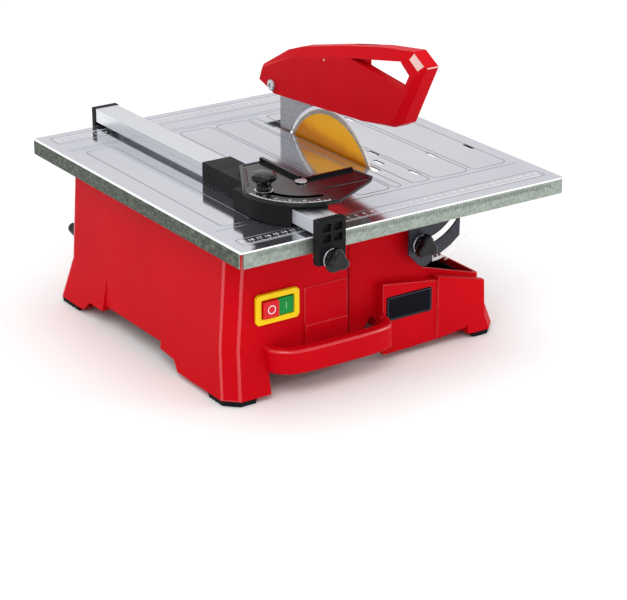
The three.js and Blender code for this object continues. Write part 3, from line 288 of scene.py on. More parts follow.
def piece(name, shape, materials, body, slot, replaced=(), weighted=True, subdivide=0, crease=38):
    """A finished piece from a bmesh: it rides on a body and takes the finishes that it is given; its slot is
    not used.
    """
    mesh = bpy.data.meshes.new(name)
    shape.to_mesh(mesh)
    shape.free()
    smooth(mesh, crease)
    for material in materials if isinstance(materials, (list, tuple)) else [materials]:
        mesh.materials.append(material)
    made = bpy.data.objects.new(name, mesh)
    bpy.context.scene.collection.objects.link(made)
    if subdivide:
        modifier = made.modifiers.new("soften", "SUBSURF")
        modifier.levels = modifier.render_levels = subdivide
    if weighted:
        modifier = made.modifiers.new("shade", "WEIGHTED_NORMAL")
        modifier.keep_sharp = True
        modifier.weight = 90
    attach(made, body)
    if replaced:
        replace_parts(made, *replaced)


def drawn(name, made, *finish, **options):
    """A piece from faces drawn one by one: they are all turned outwards first."""
    bmesh.ops.recalc_face_normals(made, faces=made.faces)
    piece(name, made, *finish, **options)


def copied(node):
    """A CAD node's mesh with its flat faces made whole."""
    made = bmesh.new()
    made.from_mesh(NODES[node].data)
    bmesh.ops.remove_doubles(made, verts=made.verts, dist=0.02 * MM)
    bmesh.ops.dissolve_limit(made, angle_limit=math.radians(0.6), use_dissolve_boundaries=False,
                             verts=made.verts, edges=made.edges, delimit=set())
    return made


def edge_span(edge):
    """The lowest and highest corner of the box round an edge, in mm."""
    a, b = (vert.co / MM for vert in edge.verts)
    low = Vector([min(a[i], b[i]) for i in range(3)])
    high = Vector([max(a[i], b[i]) for i in range(3)])
    return low, high


def round_edges(made, radius, segments=3, sharper=24, longer=0.0, where=None, material=-1):
    """Rounds the edges that turn by more than an angle; where takes an edge's low and high corner in mm."""
    chosen = []
    for edge in made.edges:
        if len(edge.link_faces) != 2 or edge.calc_face_angle(0.0) < math.radians(sharper):
            continue
        if edge.calc_length() < longer * MM or (where and not where(*edge_span(edge))):
            continue
        chosen.append(edge)
    if chosen:
        bmesh.ops.bevel(made, geom=chosen, offset=radius * MM, offset_type="OFFSET", segments=segments,
                        profile=0.5, affect="EDGES", clamp_overlap=True, loop_slide=True, material=material)


def refined(node, name, rounds, materials=None, crease=38, choose=None):
    """A CAD node's shape with rounded edges, standing for that node."""
    made = copied(node)
    for options in rounds:
        round_edges(made, **options)
    if choose:
        for face in made.faces:
            face.material_index = choose(face)
    slot = SLOT_OF[node]
    piece(name, made, materials or FINISHES[slot], BODY_OF[node], slot, [node], crease=crease)


def revolved(made, profile, centre, axis, steps=48, lobes=0, depth=0.0, material=0, phase=0.0):
    """Turns [radius, along, lobe share] points, in mm, about an axis; lobes make it wavy round the axis."""
    turn = Vector((0, 0, 1)).rotation_difference(Vector(axis)).to_matrix()
    rings = []
    for point in profile:
        radius, along = point[:2]
        share = point[2] if len(point) > 2 else 0.0
        ring = []
        for i in range(steps if radius > 0 else 1):
            angle = 2 * math.pi * i / steps
            reach = radius * (1 - share * depth * (0.5 - 0.5 * math.cos(lobes * angle - phase)))
            spot = turn @ Vector((reach * math.cos(angle), reach * math.sin(angle), along))
            ring.append(made.verts.new((Vector(centre) + spot) * MM))
        rings.append(ring)
    for lower, upper in zip(rings, rings[1:]):
        for i in range(steps):
            j = (i + 1) % steps
            corners = [lower[i % len(lower)], lower[j % len(lower)],
                       upper[j % len(upper)], upper[i % len(upper)]]
            unique = list(dict.fromkeys(corners))
            if len(unique) > 2:
                made.faces.new(unique).material_index = material


def prism(made, outline, place, depth, chamfer=0.0):
    """A raised patch: an outline of [u, v] points, its place in space, and its height in mm."""
    middle = [sum(p[i] for p in outline) / len(outline) for i in range(2)]
    levels = [(0.0, 0.0), (depth - chamfer, 0.0)] + ([(depth, chamfer)] if chamfer else [])
    rings = []
    for height, inset in levels:
        ring = []
        for u, v in outline:
            away = math.hypot(u - middle[0], v - middle[1]) or 1.0
            share = 1 - inset / away
            inner_u = middle[0] + (u - middle[0]) * share
            inner_v = middle[1] + (v - middle[1]) * share
            ring.append(made.verts.new(Vector(place(inner_u, inner_v, height)) * MM))
        rings.append(ring)
    count = len(outline)
    for lower, upper in zip(rings, rings[1:]):
        for i in range(count):
            made.faces.new([lower[i], lower[(i + 1) % count], upper[(i + 1) % count], upper[i]])
    made.faces.new(rings[-1])


def rounded_rectangle(x0, x1, y0, y1, radius, steps=5):
    points = []
    corners = [(x1 - radius, y0 + radius, 270), (x1 - radius, y1 - radius, 0),
               (x0 + radius, y1 - radius, 90), (x0 + radius, y0 + radius, 180)]
    for cx, cy, start in corners:
        for i in range(steps + 1):
            angle = math.radians(start + 90 * i / steps)
            points.append((cx + radius * math.cos(angle), cy + radius * math.sin(angle)))
    return points


def circle(x, y, radius, steps=24, start=0.0, turn=360.0):
    angles = [math.radians(start + turn * i / steps) for i in range(steps + (turn < 360))]
    return [(x + radius * math.cos(a), y + radius * math.sin(a)) for a in angles]


def bead(made, points, place, width, height, closed=True):
    """A low rounded ridge, or a print line, along [u, v] points."""
    count = len(points)
    section = [(-0.5, 0.0), (-0.3, 0.75), (0.0, 1.0), (0.3, 0.75), (0.5, 0.0)]
    rings = []
    for i, (u, v) in enumerate(points):
        before = points[i - 1] if closed or i else points[i]
        after = points[(i + 1) % count] if closed or i < count - 1 else points[i]
        along = Vector((after[0] - before[0], after[1] - before[1]))
        along.normalize()
        side = Vector((-along.y, along.x))
        ring = []
        for share, rise in section:
            spot = place(u + side.x * share * width, v + side.y * share * width, rise * height)
            ring.append(made.verts.new(Vector(spot) * MM))
        rings.append(ring)
    pairs = list(zip(rings, rings[1:])) + ([(rings[-1], rings[0])] if closed else [])
    for first, second in pairs:
        for k in range(len(section) - 1):
            made.faces.new([first[k], second[k], second[k + 1], first[k + 1]])


PRINT_HEIGHT = 0.08


def tick(made, u, v, width, length, place):
    """A line of a straight scale, which starts at [u, v]."""
    left, right = u - width / 2, u + width / 2
    prism(made, [(left, v), (right, v), (right, v + length), (left, v + length)], place, PRINT_HEIGHT)


def ray(degree, inner, outer, width):
    """The corners of a line of a round scale, about its centre."""
    angle = math.radians(degree)
    out = Vector((math.cos(angle), math.sin(angle)))
    across = Vector((-out.y, out.x)) * width / 2
    return [out * inner - across, out * inner + across, out * outer + across, out * outer - across]


def lettering(made, text, u, v, size, place, height=PRINT_HEIGHT, turn=0.0):
    """Figures laid flat at a place, centred on [u, v]."""
    curve = bpy.data.curves.new("figures", "FONT")
    curve.body = text
    curve.size = size
    curve.align_x = "CENTER"
    curve.align_y = "CENTER"
    curve.resolution_u = 2
    holder = bpy.data.objects.new("figures", curve)
    bpy.context.scene.collection.objects.link(holder)
    bpy.context.view_layer.update()
    flat = holder.to_mesh()
    angle = math.radians(turn)
    verts = []
    for vert in flat.vertices:
        x, y = vert.co.x, vert.co.y
        right = x * math.cos(angle) - y * math.sin(angle)
        up = x * math.sin(angle) + y * math.cos(angle)
        verts.append(made.verts.new(Vector(place(u + right, v + up, height)) * MM))
    for polygon in flat.polygons:
        made.faces.new([verts[i] for i in polygon.vertices])
    holder.to_mesh_clear()
    bpy.data.objects.remove(holder)
    bpy.data.curves.remove(curve)


KNOB_RADIUS = 14.5


def lobed_knob(name, node, side):
    """A three-lobed clamping knob with a rounded end and a bright ring, facing -Y or +Y as side says."""
    low, high = box_mm(node)
    centre = ((low.x + high.x) / 2, 0, (low.z + high.z) / 2)
    back = -high.y if side < 0 else low.y
    length = high.y - low.y
    axis = (0, side, 0)
    radius = KNOB_RADIUS
    made = bmesh.new()
    profile = [[0.30, 0.5], [0.62, 0.5], [0.66, 1.2], [0.66, 3.6], [0.70, 4.6, 0.3], [0.92, 5.4, 1],
               [1.0, 6.6, 1], [1.0, length - 5.2, 1], [0.95, length - 2.8, 1], [0.82, length - 1.2, 0.9],
               [0.62, length - 0.7, 0.7], [0.4, length - 1.1, 0.4], [0.0, length - 1.3]]
    scaled_profile = [[p[0] * radius, p[1] + back] + p[2:] for p in profile]
    # one lobe points straight up
    phase = math.radians(-270 * side)
    revolved(made, scaled_profile, centre, axis, 54, 3, 0.36, phase=phase)
    bmesh.ops.recalc_face_normals(made, faces=made.faces)
    materials = [FINISHES["gloss_black"], FINISHES["plated_steel"]]
    collar = [[radius * 0.62, back + 0.15], [radius * 0.76, back + 0.15], [radius * 0.78, back + 0.5],
              [radius * 0.76, back + 1.0], [radius * 0.7, back + 1.2]]
    revolved(made, collar, centre, axis, 40, material=1)
    piece(name, made, materials, BODY_OF[node], "gloss_black", [node], weighted=False, subdivide=1, crease=60)


# ---- Places shared by several pieces ----------------------------------------------------------------
TABLE_LOW, TABLE_HIGH = box_mm("table_top")
TOP = TABLE_HIGH.z
MIDDLE_Y = (TABLE_LOW.y + TABLE_HIGH.y) / 2


def on_table(x, y, height):
    """A point over the table: x and y in mm from its middle."""
    return (x, y + MIDDLE_Y, TOP + height)


def on_front(face_y):
    """Places points before an upright face that looks forwards: x, z and a height, in mm."""
    return lambda x, z, height: (x, face_y - height, z)


# ---- Housing ----------------------------------------------------------------------------------------
HOUSING_LOW, HOUSING_HIGH = box_mm("housing")
RECESS_Y = -161 + MIDDLE_Y
# the body's red, and the edges' red painted lighter as a highlight
RED = [FINISHES["red_plastic"], RED_EDGE_HIGHLIGHT]


def within(x0, x1, y0, y1, z0, z1):
    """Chooses the edges that lie inside a box, in mm."""
    def chosen(low, high):
        inside_x = low.x > x0 and high.x < x1
        return inside_x and low.y > y0 and high.y < y1 and low.z > z0 and high.z < z1
    return chosen


FRONT_Y = HOUSING_LOW.y + 12
LEFT_CORNERS = (HOUSING_LOW.x - 1, -150)
ABOVE_FEET = 5
housing_regions = [
    # the front left and the rear left corner, down to the legs
    (4.0, within(*LEFT_CORNERS, HOUSING_LOW.y - 1, FRONT_Y + 20, ABOVE_FEET, 187)),
    (4.0, within(*LEFT_CORNERS, HOUSING_HIGH.y - 40, HOUSING_HIGH.y + 1, ABOVE_FEET, 187)),
    # the label's panel and the right panel
    (2.2, within(2, 80, HOUSING_LOW.y - 1, FRONT_Y + 4, ABOVE_FEET, 96)),
    (3.0, within(76, HOUSING_HIGH.x + 1, HOUSING_LOW.y - 1, FRONT_Y + 4, ABOVE_FEET, 100)),
    # the block beside the switch
    (1.6, within(-100, -35, HOUSING_LOW.y - 1, FRONT_Y + 4, 20, 115)),
    # the rear right corner
    (3.0, within(100, HOUSING_HIGH.x + 1, 150, HOUSING_HIGH.y + 1, ABOVE_FEET, 100)),
]
# the rounded edges take the edge red, painted lighter as a highlight
refined("housing", "housing_shell", [
    {"radius": radius, "segments": 4, "longer": 10, "where": where, "material": 1}
    for radius, where in housing_regions
] + [{"radius": 0.9, "segments": 2, "sharper": 30, "longer": 5, "material": 1}], RED)


def swept_bar(made, path, low, high, radius, rounded=2):
    """A bar with rounded edges between two heights, along [x, y, width] points in mm."""
    for _ in range(rounded):
        cut_corners = [path[0]]
        for a, b in zip(path, path[1:]):
            cut_corners += [tuple(a[k] * w + b[k] * (1 - w) for k in range(3)) for w in (0.8, 0.2)]
        path = cut_corners + [path[-1]]
    rings = []
    for i, (x, y, width) in enumerate(path):
        before, after = path[max(i - 1, 0)], path[min(i + 1, len(path) - 1)]
        along = Vector((after[0] - before[0], after[1] - before[1])).normalized()
        section = rounded_rectangle(-width / 2, width / 2, low, high, radius, 6)
        spots = [Vector((x - along.y * u, y + along.x * u, z)) for u, z in section]
        rings.append([made.verts.new(spot * MM) for spot in spots])
    for first, second in zip(rings, rings[1:]):
        for k in range(len(first)):
            j = (k + 1) % len(first)
            made.faces.new([first[k], second[k], second[j], first[j]])
    made.faces.new(rings[0])
    made.faces.new(rings[-1])
    bmesh.ops.recalc_face_normals(made, faces=made.faces)


BAR_LOW, BAR_HIGH = box_mm("carry_handle")
bar = bmesh.new()
bar_y = BAR_LOW.y + 7.4
swept_bar(bar, [(-143, -157.5, 14), (-143, bar_y + 15, 14), (-125.5, bar_y, 14.8), (-9, bar_y, 14.8),
                (4.0, bar_y + 17, 9), (4.4, -160.5, 8)], BAR_LOW.z, BAR_HIGH.z, 3.9)
# the bar's upward-slanting faces take the edge red, painted lighter as a highlight
for face in bar.faces:
    face.material_index = 1 if face.normal.z > 0.2 and abs(face.normal.z) < 0.97 else 0
piece("carry_bar", bar, RED, "root", "red_plastic", ["carry_handle"], crease=60)
for corner in ("front_left", "rear_left", "front_right", "rear_right"):
    refined("foot_" + corner, "foot_pad_" + corner, [{"radius": 0.8, "segments": 2}])
refined("water_tray", "water_tray_body", [{"radius": 0.7, "segments": 2}])

# a dark strip painted as the shadow in the recess where the front steps back beside the switch's block
recess_shadow = bmesh.new()
prism(recess_shadow, [(-41, 34), (-32.6, 34), (-33.4, 150), (-41, 150)], on_front(RECESS_Y + 0.05), 0.12)
drawn("recess_painted_shadow", recess_shadow, SHADED_RED, "root", "red_plastic")

# ---- Switch and label -----------------------------------------------------------------------------
refined("switch_frame", "switch_surround", [{"radius": 1.2, "segments": 3, "longer": 2.5}])
for name, shape in (("stop_button", "ring"), ("start_button", "bar")):
    refined(name, name + "_cap", [{"radius": 0.9, "segments": 3}])
    low, high = box_mm(name)
    face = on_front(low.y - 0.02)
    x, z = (low.x + high.x) / 2, (low.z + high.z) / 2
    mark = bmesh.new()
    if shape == "ring":
        bead(mark, circle(x, z, 4.4, 36), face, 1.0, 0.16)
    else:
        stroke = [(x - 0.4, z - 3.8), (x + 0.4, z - 3.8), (x + 0.4, z + 3.8), (x - 0.4, z + 3.8)]
        prism(mark, stroke, face, 0.12)
    drawn(name + "_mark", mark, WHITE_PRINT if shape == "ring" else PALE_GREEN, name, SLOT_OF[name])

refined("label_plate", "label_panel", [{"radius": 0.35, "segments": 2}])
low, high = box_mm("label_plate")
border = bmesh.new()
LABEL_MARGIN = 1.6
outline = rounded_rectangle(low.x + LABEL_MARGIN, high.x - LABEL_MARGIN,
                            low.z + LABEL_MARGIN, high.z - LABEL_MARGIN, 1.4)
bead(border, outline, on_front(low.y - 0.01), 0.5, 0.1)
piece("label_border", border, metal("label_line", rgb(92, 96, 104), 0.3), "root", "label")

# ---- Table ------------------------------------------------------------------------------------------
RIM = 1.7
SHEET_TOP, SKIRT_FRONT_LIT, SKIRT_SIDE_SHADED, TOP_EDGE_HIGHLIGHT = range(4)


def table_zone(face):
    """The finish of a face of the table, by its place and by the way that it faces: the front and back skirts
    take a copy painted lighter as lit, the sides a copy painted darker as shade, and the rounded top rim a
    painted highlight.
    """
    centre = face.calc_center_median() / MM
    inside_x = TABLE_LOW.x + RIM < centre.x < TABLE_HIGH.x - RIM
    inside_y = TABLE_LOW.y + RIM < centre.y < TABLE_HIGH.y - RIM
    if centre.z > TOP - RIM and not (inside_x and inside_y):
        return TOP_EDGE_HIGHLIGHT
    if face.normal.z > 0.3 and centre.z > TOP - 2:
        return SHEET_TOP
    if abs(face.normal.x) > 0.6:
        return SKIRT_SIDE_SHADED
    return SKIRT_FRONT_LIT if abs(face.normal.y) > 0.6 else SHEET_TOP


def outer_rim(low, high):
    along_top = low.z > TOP - 0.1
    outside = low.x < TABLE_LOW.x + 0.1 and high.x < TABLE_LOW.x + 0.1 or low.x > TABLE_HIGH.x - 0.1
    outside = outside or high.y < TABLE_LOW.y + 0.1 or low.y > TABLE_HIGH.y - 0.1
    return along_top and outside


def slot_edge(low, high):
    return low.z > TOP - 0.1 and not outer_rim(low, high)


refined("table_top", "table_sheet_top", [
    {"radius": RIM, "segments": 4, "where": outer_rim},
    {"radius": 0.35, "segments": 2, "sharper": 40, "where": slot_edge},
], [FINISHES["table_sheet"], SKIRT_PAINTED_LIT, SKIRT_PAINTED_SHADE, RIM_PAINTED_HIGHLIGHT], choose=table_zone)

# pressed panels: their left and right side, and their corners' radius; the blade's slot parts one in two
PANEL_FRONT, PANEL_REAR = -149, 147
PANELS = ((143, 191, 8), (89, 137, 8), (35, 46, 5), (60, 84, 5), (-12, 31, 8), (-61, -17, 8), (-90, -66, 8),
          (-184, -147, 8))
SCALE_LEFT, SCALE_RIGHT = -195, 197
panels = bmesh.new()
for x0, x1, corner in PANELS:
    bead(panels, rounded_rectangle(x0, x1, PANEL_FRONT, PANEL_REAR, corner), on_table, 1.3, 0.28)
for y0, y1 in ((-208, -190), (187, 211)):
    bead(panels, rounded_rectangle(SCALE_LEFT, SCALE_RIGHT, y0, y1, 3), on_table, 1.2, 0.26)
for v in (-157, 156, 162):
    bead(panels, [(-196, v), (196, v)], on_table, 1.2, 0.26, closed=False)
drawn("table_panels", panels, GROOVE_SHADE, "table", "table_sheet", weighted=False)

SCALE_END = 190
FIGURE_SIZE = 7.0
rulers = bmesh.new()
for step in range(-SCALE_END, SCALE_END + 1, 2):
    long_mark = step % 10 == 0
    length = 4.2 if long_mark else 2.4
    tick(rulers, step, -206.5, 0.55, length, on_table)
    tick(rulers, step, 209.5 - length, 0.55, length, on_table)
    tick(rulers, step, TOP - 9 if long_mark else TOP - 7.5, 0.5, 5.5 if long_mark else 4,
         on_front(TABLE_LOW.y))
    if long_mark and step:
        for v in (-197.6, 198.0):
            lettering(rulers, str(abs(step) // 10), step, v, FIGURE_SIZE, on_table)
for face in rulers.faces:
    on_skirt = face.calc_center_median().z / MM < TOP - 2
    face.material_index = 1 if on_skirt else 0
drawn("table_scales", rulers, [WHITE_PRINT, DARK_PRINT], "table", "table_sheet", weighted=False)

# ---- Bevel plates -----------------------------------------------------------------------------------
PIVOT_X = BLADE_CENTRE.x / MM
# the scale's lines and figures are spaced by given numbers and don't read the tilt
TILT_SCALE_START = -88
FIGURES_APART = 13
FIGURES_AT = 78.5
for place, side in (("front", -1), ("rear", 1)):
    node = "bevel_plate_" + place
    refined(node, node + "_sheet", [{"radius": 0.5, "segments": 2}])
    low, high = box_mm(node)
    face_y = low.y if side < 0 else high.y
    marks = bmesh.new()

    def on_plate(x, z, height):
        return (x, face_y + side * height, z)

    for degree in range(TILT_SCALE_START, -38):
        long_mark = (degree - TILT_SCALE_START) % 5 == 0
        line = ray(degree, 68.5 if long_mark else 71.5, 75.2, 0.68)
        outline = [(PIVOT_X + corner.x, TOP + corner.y) for corner in line]
        if all(low.x + 2 < x < high.x - 2 and z > low.z + 1 for x, z in outline):
            prism(marks, outline, on_plate, 0.1)
    for count in (1, 2, 3):
        degree = TILT_SCALE_START + FIGURES_APART * count
        angle = math.radians(degree)
        x, z = PIVOT_X + FIGURES_AT * math.cos(angle), TOP + FIGURES_AT * math.sin(angle)
        lettering(marks, str(15 * count), x, z, 5.0, on_plate, turn=degree + 90)
    drawn(node + "_scale", marks, WHITE_PRINT, "table", "dark_plate", weighted=False)
    lobed_knob("bevel_handle_" + place, "bevel_knob_" + place, side)

# ---- Fence ------------------------------------------------------------------------------------------
low, high = box_mm("fence_rail")
rail = copied("fence_rail")
round_edges(rail, 0.8, 3, longer=50)
GROOVE_END = 0.6
start, end = low.y + GROOVE_END, high.y - GROOVE_END
for x in (low.x + 4.2, low.x + 7.5, high.x - 4.2, high.x - 7.5):
    bead(rail, [(x, start), (x, end)], lambda u, v, height: (u, v, high.z + height), 0.9, 0.22, closed=False)
for side, x in ((-1, low.x), (1, high.x)):
    for z in (low.z + 4.5, high.z - 4.5):
        bead(rail, [(start, z), (end, z)], lambda u, v, height: (x + side * height, u, v), 0.9, 0.22,
             closed=False)
drawn("fence_extrusion", rail, FINISHES["aluminium"], "fence", "aluminium", ["fence_rail"])
refined("fence_rear_cap", "fence_end_block", [{"radius": 0.7, "segments": 2}])
refined("fence_clamp", "fence_clamp_block", [{"radius": 0.9, "segments": 3, "longer": 20}])
teeth = bmesh.new()
low, high = box_mm("fence_clamp")
face_top = box_mm("fence_rail")[1].z
for i in range(7):
    x = low.x + 5 + i * 4.4
    tooth = [(x - 1.1, low.y + 1.2), (x + 1.1, low.y + 1.2), (x + 1.1, low.y + 9.4), (x - 1.1, low.y + 9.4)]
    prism(teeth, tooth, lambda u, v, height: (u, v, face_top + height), 1.1, chamfer=0.5)
drawn("fence_clamp_teeth", teeth, FINISHES["black_plastic"], "fence", "black_plastic")
lobed_knob("fence_handle", "fence_knob", -1)

# ---- Mitre protractor -------------------------------------------------------------------------------
refined("mitre_base", "mitre_base_body", [{"radius": 0.9, "segments": 3, "longer": 2}])
refined("mitre_protractor", "mitre_quadrant", [{"radius": 0.5, "segments": 2}])
low, high = box_mm("mitre_pivot")
PIVOT = Vector(((low.x + high.x) / 2, (low.y + high.y) / 2, high.z))
low, high = box_mm("mitre_base")
PLATE_TOP = high.z + 0.5 + 3


def on_quadrant(x, y, height):
    return (PIVOT.x + x, PIVOT.y + y, PLATE_TOP + height)


quadrant = bmesh.new()
bead(quadrant, circle(0, 0, 66.6, 40, 176, 94), on_quadrant, 1.8, 0.9, closed=False)
bead(quadrant, circle(0, 0, 53.5, 40, 176, 94), on_quadrant, 0.8, 0.4, closed=False)
STRAIGHT_RIMS = ([(7, -30), (63, -32), (72, -25), (68, 1)], [(8, 80), (-22, 80), (-65, 9)],
                 [(-25, 70), (-52, 22)])
for outline in STRAIGHT_RIMS:
    bead(quadrant, outline, on_quadrant, 1.8, 0.8, closed=False)
drawn("mitre_quadrant_rims", quadrant, FINISHES["gloss_black"], "mitre_protractor", "gloss_black",
      weighted=False)
FIGURES_INSIDE = 57.2
scale = bmesh.new()
for degree in range(180, 266):
    line = ray(degree, 60.2 if degree % 5 == 0 else 62.2, 64.6, 0.44)
    prism(scale, [(corner.x, corner.y) for corner in line], on_quadrant, 0.1)
for degree in range(180, 270, 15):
    angle = math.radians(degree)
    x, y = FIGURES_INSIDE * math.cos(angle), FIGURES_INSIDE * math.sin(angle)
    lettering(scale, str(degree - 180), x, y, 3.6, on_quadrant, 0.12, degree + 90)
drawn("mitre_quadrant_scale", scale, WHITE_PRINT, "mitre_protractor", "gloss_black", weighted=False)

low, high = box_mm("mitre_knob")
knob = bmesh.new()
centre = ((low.x + high.x) / 2, (low.y + high.y) / 2, low.z)
profile = [[3.4, 1.6], [8.6, 1.6], [8.8, 2.4], [7.6, 4.4], [7.2, 7.0], [9.2, 9.6], [13.4, 12.2, 1],
           [15.0, 13.8, 1], [15.0, 16.4, 1], [13.9, 18.2, 1], [10.8, 19.3, 0.8], [5.6, 19.8, 0.2], [0, 19.9]]
revolved(knob, profile, centre, (0, 0, 1), 60, 6, 0.16)
washer = [[4.0, 0.1], [10.2, 0.1], [10.4, 0.4], [10.2, 0.9], [4.0, 0.9]]
revolved(knob, washer, centre, (0, 0, 1), 48, material=1)
drawn("mitre_handle", knob, [FINISHES["gloss_black"], FINISHES["plated_steel"]], "mitre_knob", "gloss_black",
      ["mitre_knob"], weighted=False, subdivide=1, crease=60)

# ---- Blade, knife and guard -------------------------------------------------------------------------
low, high = box_mm("saw_blade")
x, y, z = BLADE_CENTRE / MM
half = (high.x - low.x) / 2
radius = (high.z - low.z) / 2
blade = bmesh.new()
BORE = 11.1
DISC_THINNER = 0.25  # the steel disc lies this far below the rim's faces
for side in (-1, 1):
    disc = [[BORE, side * (half - DISC_THINNER)], [84.5, side * (half - DISC_THINNER)],
            [85.0, side * (half - 0.05)]]
    rim = [[85.0, side * (half - 0.05)], [85.3, side * half], [radius - 1.0, side * half]]
    edge = [[radius - 1.0, side * half], [radius - 0.3, side * half * 0.8], [radius, 0]]
    for material, profile in enumerate((disc, rim, edge)):
        revolved(blade, profile, (x, y, z), (1, 0, 0), 144, material=material)
revolved(blade, [[BORE, DISC_THINNER - half], [BORE, half - DISC_THINNER]], (x, y, z), (1, 0, 0), 144)
bmesh.ops.remove_doubles(blade, verts=blade.verts, dist=0.01 * MM)
drawn("blade_disc", blade, [FINISHES["blade_gold"], DIAMOND_RIM, CUTTING_EDGE], "blade", "blade_gold",
      ["saw_blade"], crease=30)
refined("riving_knife", "riving_knife_sheet", [{"radius": 0.3, "segments": 2}])

GUARD_LOW, GUARD_HIGH = box_mm("blade_guard")
# the guard's rounded edges take the edge red, painted lighter as a highlight
refined("blade_guard", "guard_shell", [
    {"radius": 1.1, "segments": 3, "sharper": 14, "longer": 4, "material": 1},
], RED)


def on_guard(x, y, rise):
    """A point from the table's middle, and its height over the table, in mm."""
    return Vector((x, y + MIDDLE_Y, TOP + rise))


# the corners of the slope between the guard's side and its front-top edge, which carries a blank sticker
SLOPE = [on_guard(GUARD_LOW.x, -158, 139.5), on_guard(GUARD_LOW.x, -174, 128.5),
         on_guard(GUARD_LOW.x + 5, -190, 141), on_guard(GUARD_LOW.x + 5, -167, 154)]
SLOPE_OUT = (SLOPE[3] - SLOPE[0]).cross(SLOPE[1] - SLOPE[0]).normalized()
if SLOPE_OUT.x > 0:
    SLOPE_OUT.negate()


def on_slope(u, v, height):
    spot = SLOPE[0].lerp(SLOPE[1], u).lerp(SLOPE[3].lerp(SLOPE[2], u), v)
    return tuple(spot + SLOPE_OUT * height)


details = bmesh.new()
prism(details, [(0.08, 0.45), (0.08, 0.95), (0.85, 0.95), (0.85, 0.45)], on_slope, 0.35)
drawn("guard_sticker", details, STICKER_AND_HIGHLIGHT_PINK, "guard", "red_plastic", weighted=False)


def on_nose(x, along, height):
    """A point on the guard's front edge, which looks forwards and a little up, where a pale line is painted
    as a highlight.
    """
    return tuple(on_guard(x, -189.6 - height * 0.8, 140.6 + height * 0.3 + along))


def on_crown(y, x, height):
    """A point over the guard's top, which falls towards the back."""
    return tuple(on_guard(x, y, 132 - (y + 42) * 14 / 68 + height))


# a pale bead painted along the guard's front edge as a highlight
nose_highlight = bmesh.new()
bead(nose_highlight, [(GUARD_LOW.x + 6, 0), (GUARD_HIGH.x - 6, 0)], on_nose, 1.5, 0.9, closed=False)
drawn("guard_nose_painted_highlight", nose_highlight, STICKER_AND_HIGHLIGHT_PINK, "guard", "red_plastic", weighted=False)
# a dark-red patch painted as the shade inside a slot in the guard's top
top_slot_shade = bmesh.new()
prism(top_slot_shade, [(-46, 55.5), (-46, 59), (-84, 59), (-84, 55.5)], on_crown, 0.25)
drawn("guard_top_slot_painted_shade", top_slot_shade, SHADED_RED, "guard", "red_plastic", weighted=False)
dimple = bmesh.new()
revolved(dimple, [[0, -0.25], [0.9, -0.3], [1.3, -0.1], [1.4, 0.4]], on_guard(GUARD_LOW.x, -7, 108.5),
         (1, 0, 0), 20)
drawn("guard_dimple", dimple, STICKER_AND_HIGHLIGHT_PINK, "guard", "red_plastic", weighted=False)

low, high = box_mm("guard_screw")
screw = bmesh.new()
centre = (0, (low.y + high.y) / 2, (low.z + high.z) / 2)
profile = [[0, low.x + 2.4], [2.6, low.x + 2.4], [2.7, low.x + 0.1], [5.2, low.x], [6.6, low.x + 0.8],
           [7.0, low.x + 2.0], [7.0, low.x + 4], [4.0, low.x + 4], [4.0, high.x - 0.4], [3.6, high.x], [0,
               high.x]]
revolved(screw, profile, centre, (1, 0, 0), 36)
drawn("guard_pivot_screw", screw, FINISHES["plated_steel"], "guard", "plated_steel", ["guard_screw"],
      crease=30)
refined("guard_nut", "guard_wing_nut", [{"radius": 0.6, "segments": 2}])

# ---- The other CAD nodes keep their shape ------------------------------------------------------------
replaced = {node for made in bpy.data.objects for node in made.get("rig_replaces", [])}
for node, kept in NODES.items():
    if node in replaced:
        continue
    kept.data.materials.clear()
    kept.data.materials.append(FINISHES[SLOT_OF[node]])
    weld = kept.modifiers.new("weld", "WELD")
    weld.merge_threshold = 0.01 * MM
    flat = kept.modifiers.new("flat", "DECIMATE")
    flat.decimate_type = "DISSOLVE"
    flat.angle_limit = math.radians(0.8)
    rounding = kept.modifiers.new("round", "BEVEL")
    rounding.width = 0.4 * MM
    rounding.segments = 2
    rounding.limit_method = "ANGLE"
    rounding.angle_limit = math.radians(30)
    shade = kept.modifiers.new("shade", "WEIGHTED_NORMAL")
    shade.keep_sharp = True

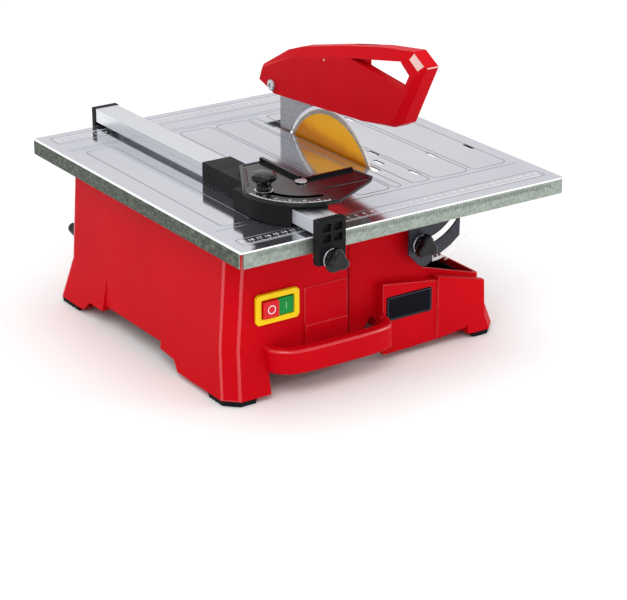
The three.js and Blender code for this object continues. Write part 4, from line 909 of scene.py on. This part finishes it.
# ---- Stage, light and camera ------------------------------------------------------------------------
def area_light(name, place, target, size, power):
    data = bpy.data.lights.new(name, "AREA")
    data.shape = "RECTANGLE"
    data.size, data.size_y = size
    data.energy = power
    light = bpy.data.objects.new(name, data)
    light.location = place
    light.rotation_euler = (Vector(target) - Vector(place)).to_track_quat("-Z", "Y").to_euler()
    bpy.context.scene.collection.objects.link(light)


floor_mesh = bpy.data.meshes.new("floor")
REACH = 30
floor_mesh.from_pydata([(-REACH, -REACH, 0), (REACH, -REACH, 0), (REACH, REACH, 0), (-REACH, REACH, 0)], [],
                       [(0, 1, 2, 3)])
floor_finish = Finish("pale_floor")
GREYER, PALER = (0.93, 0.93, 0.93, 1), (0.95, 0.95, 0.95, 1)
floor_tone = floor_finish.ramp(floor_finish.noise(3), (0.3, GREYER), (0.7, PALER))
floor_finish.put(Base_Color=floor_tone, Roughness=0.9, Specular_IOR_Level=0.1)
floor_mesh.materials.append(floor_finish.material)
floor = bpy.data.objects.new("floor", floor_mesh)
floor.location.z = -0.0002
bpy.context.scene.collection.objects.link(floor)

area_light("key_soft", (-1.6, -1.6, 2.4), (0, 0, 0.15), (1.6, 1.6), 26)
area_light("top_soft", (0.3, 0.4, 2.6), (0, 0, 0.2), (2.4, 2.0), 18)
area_light("right_soft", (2.2, -1.4, 1.2), (0, 0, 0.15), (1.2, 1.8), 14)

scene = bpy.context.scene
world = bpy.data.worlds.new("studio")
world.use_nodes = True
world.node_tree.nodes["Background"].inputs["Color"].default_value = (1, 1, 1, 1)
world.node_tree.nodes["Background"].inputs["Strength"].default_value = 0.86
scene.world = world
scene.view_settings.view_transform = "Standard"

# the camera stands where the photograph was taken from, as worked out from the table and the blade
LENS = 124.39
CAMERA_PLACE = (-1.2772, -1.9242, 0.9613)
CAMERA_TARGET = (-0.2180, -0.3563, 0.1900)
camera_data = bpy.data.cameras.new("camera")
camera_data.lens = LENS
camera_data.sensor_width = 36
camera_data.sensor_fit = "HORIZONTAL"
camera = bpy.data.objects.new("camera", camera_data)
camera.location = CAMERA_PLACE
aim = Vector(CAMERA_TARGET) - Vector(camera.location)
camera.rotation_euler = aim.to_track_quat("-Z", "Y").to_euler()
scene.collection.objects.link(camera)
scene.camera = camera
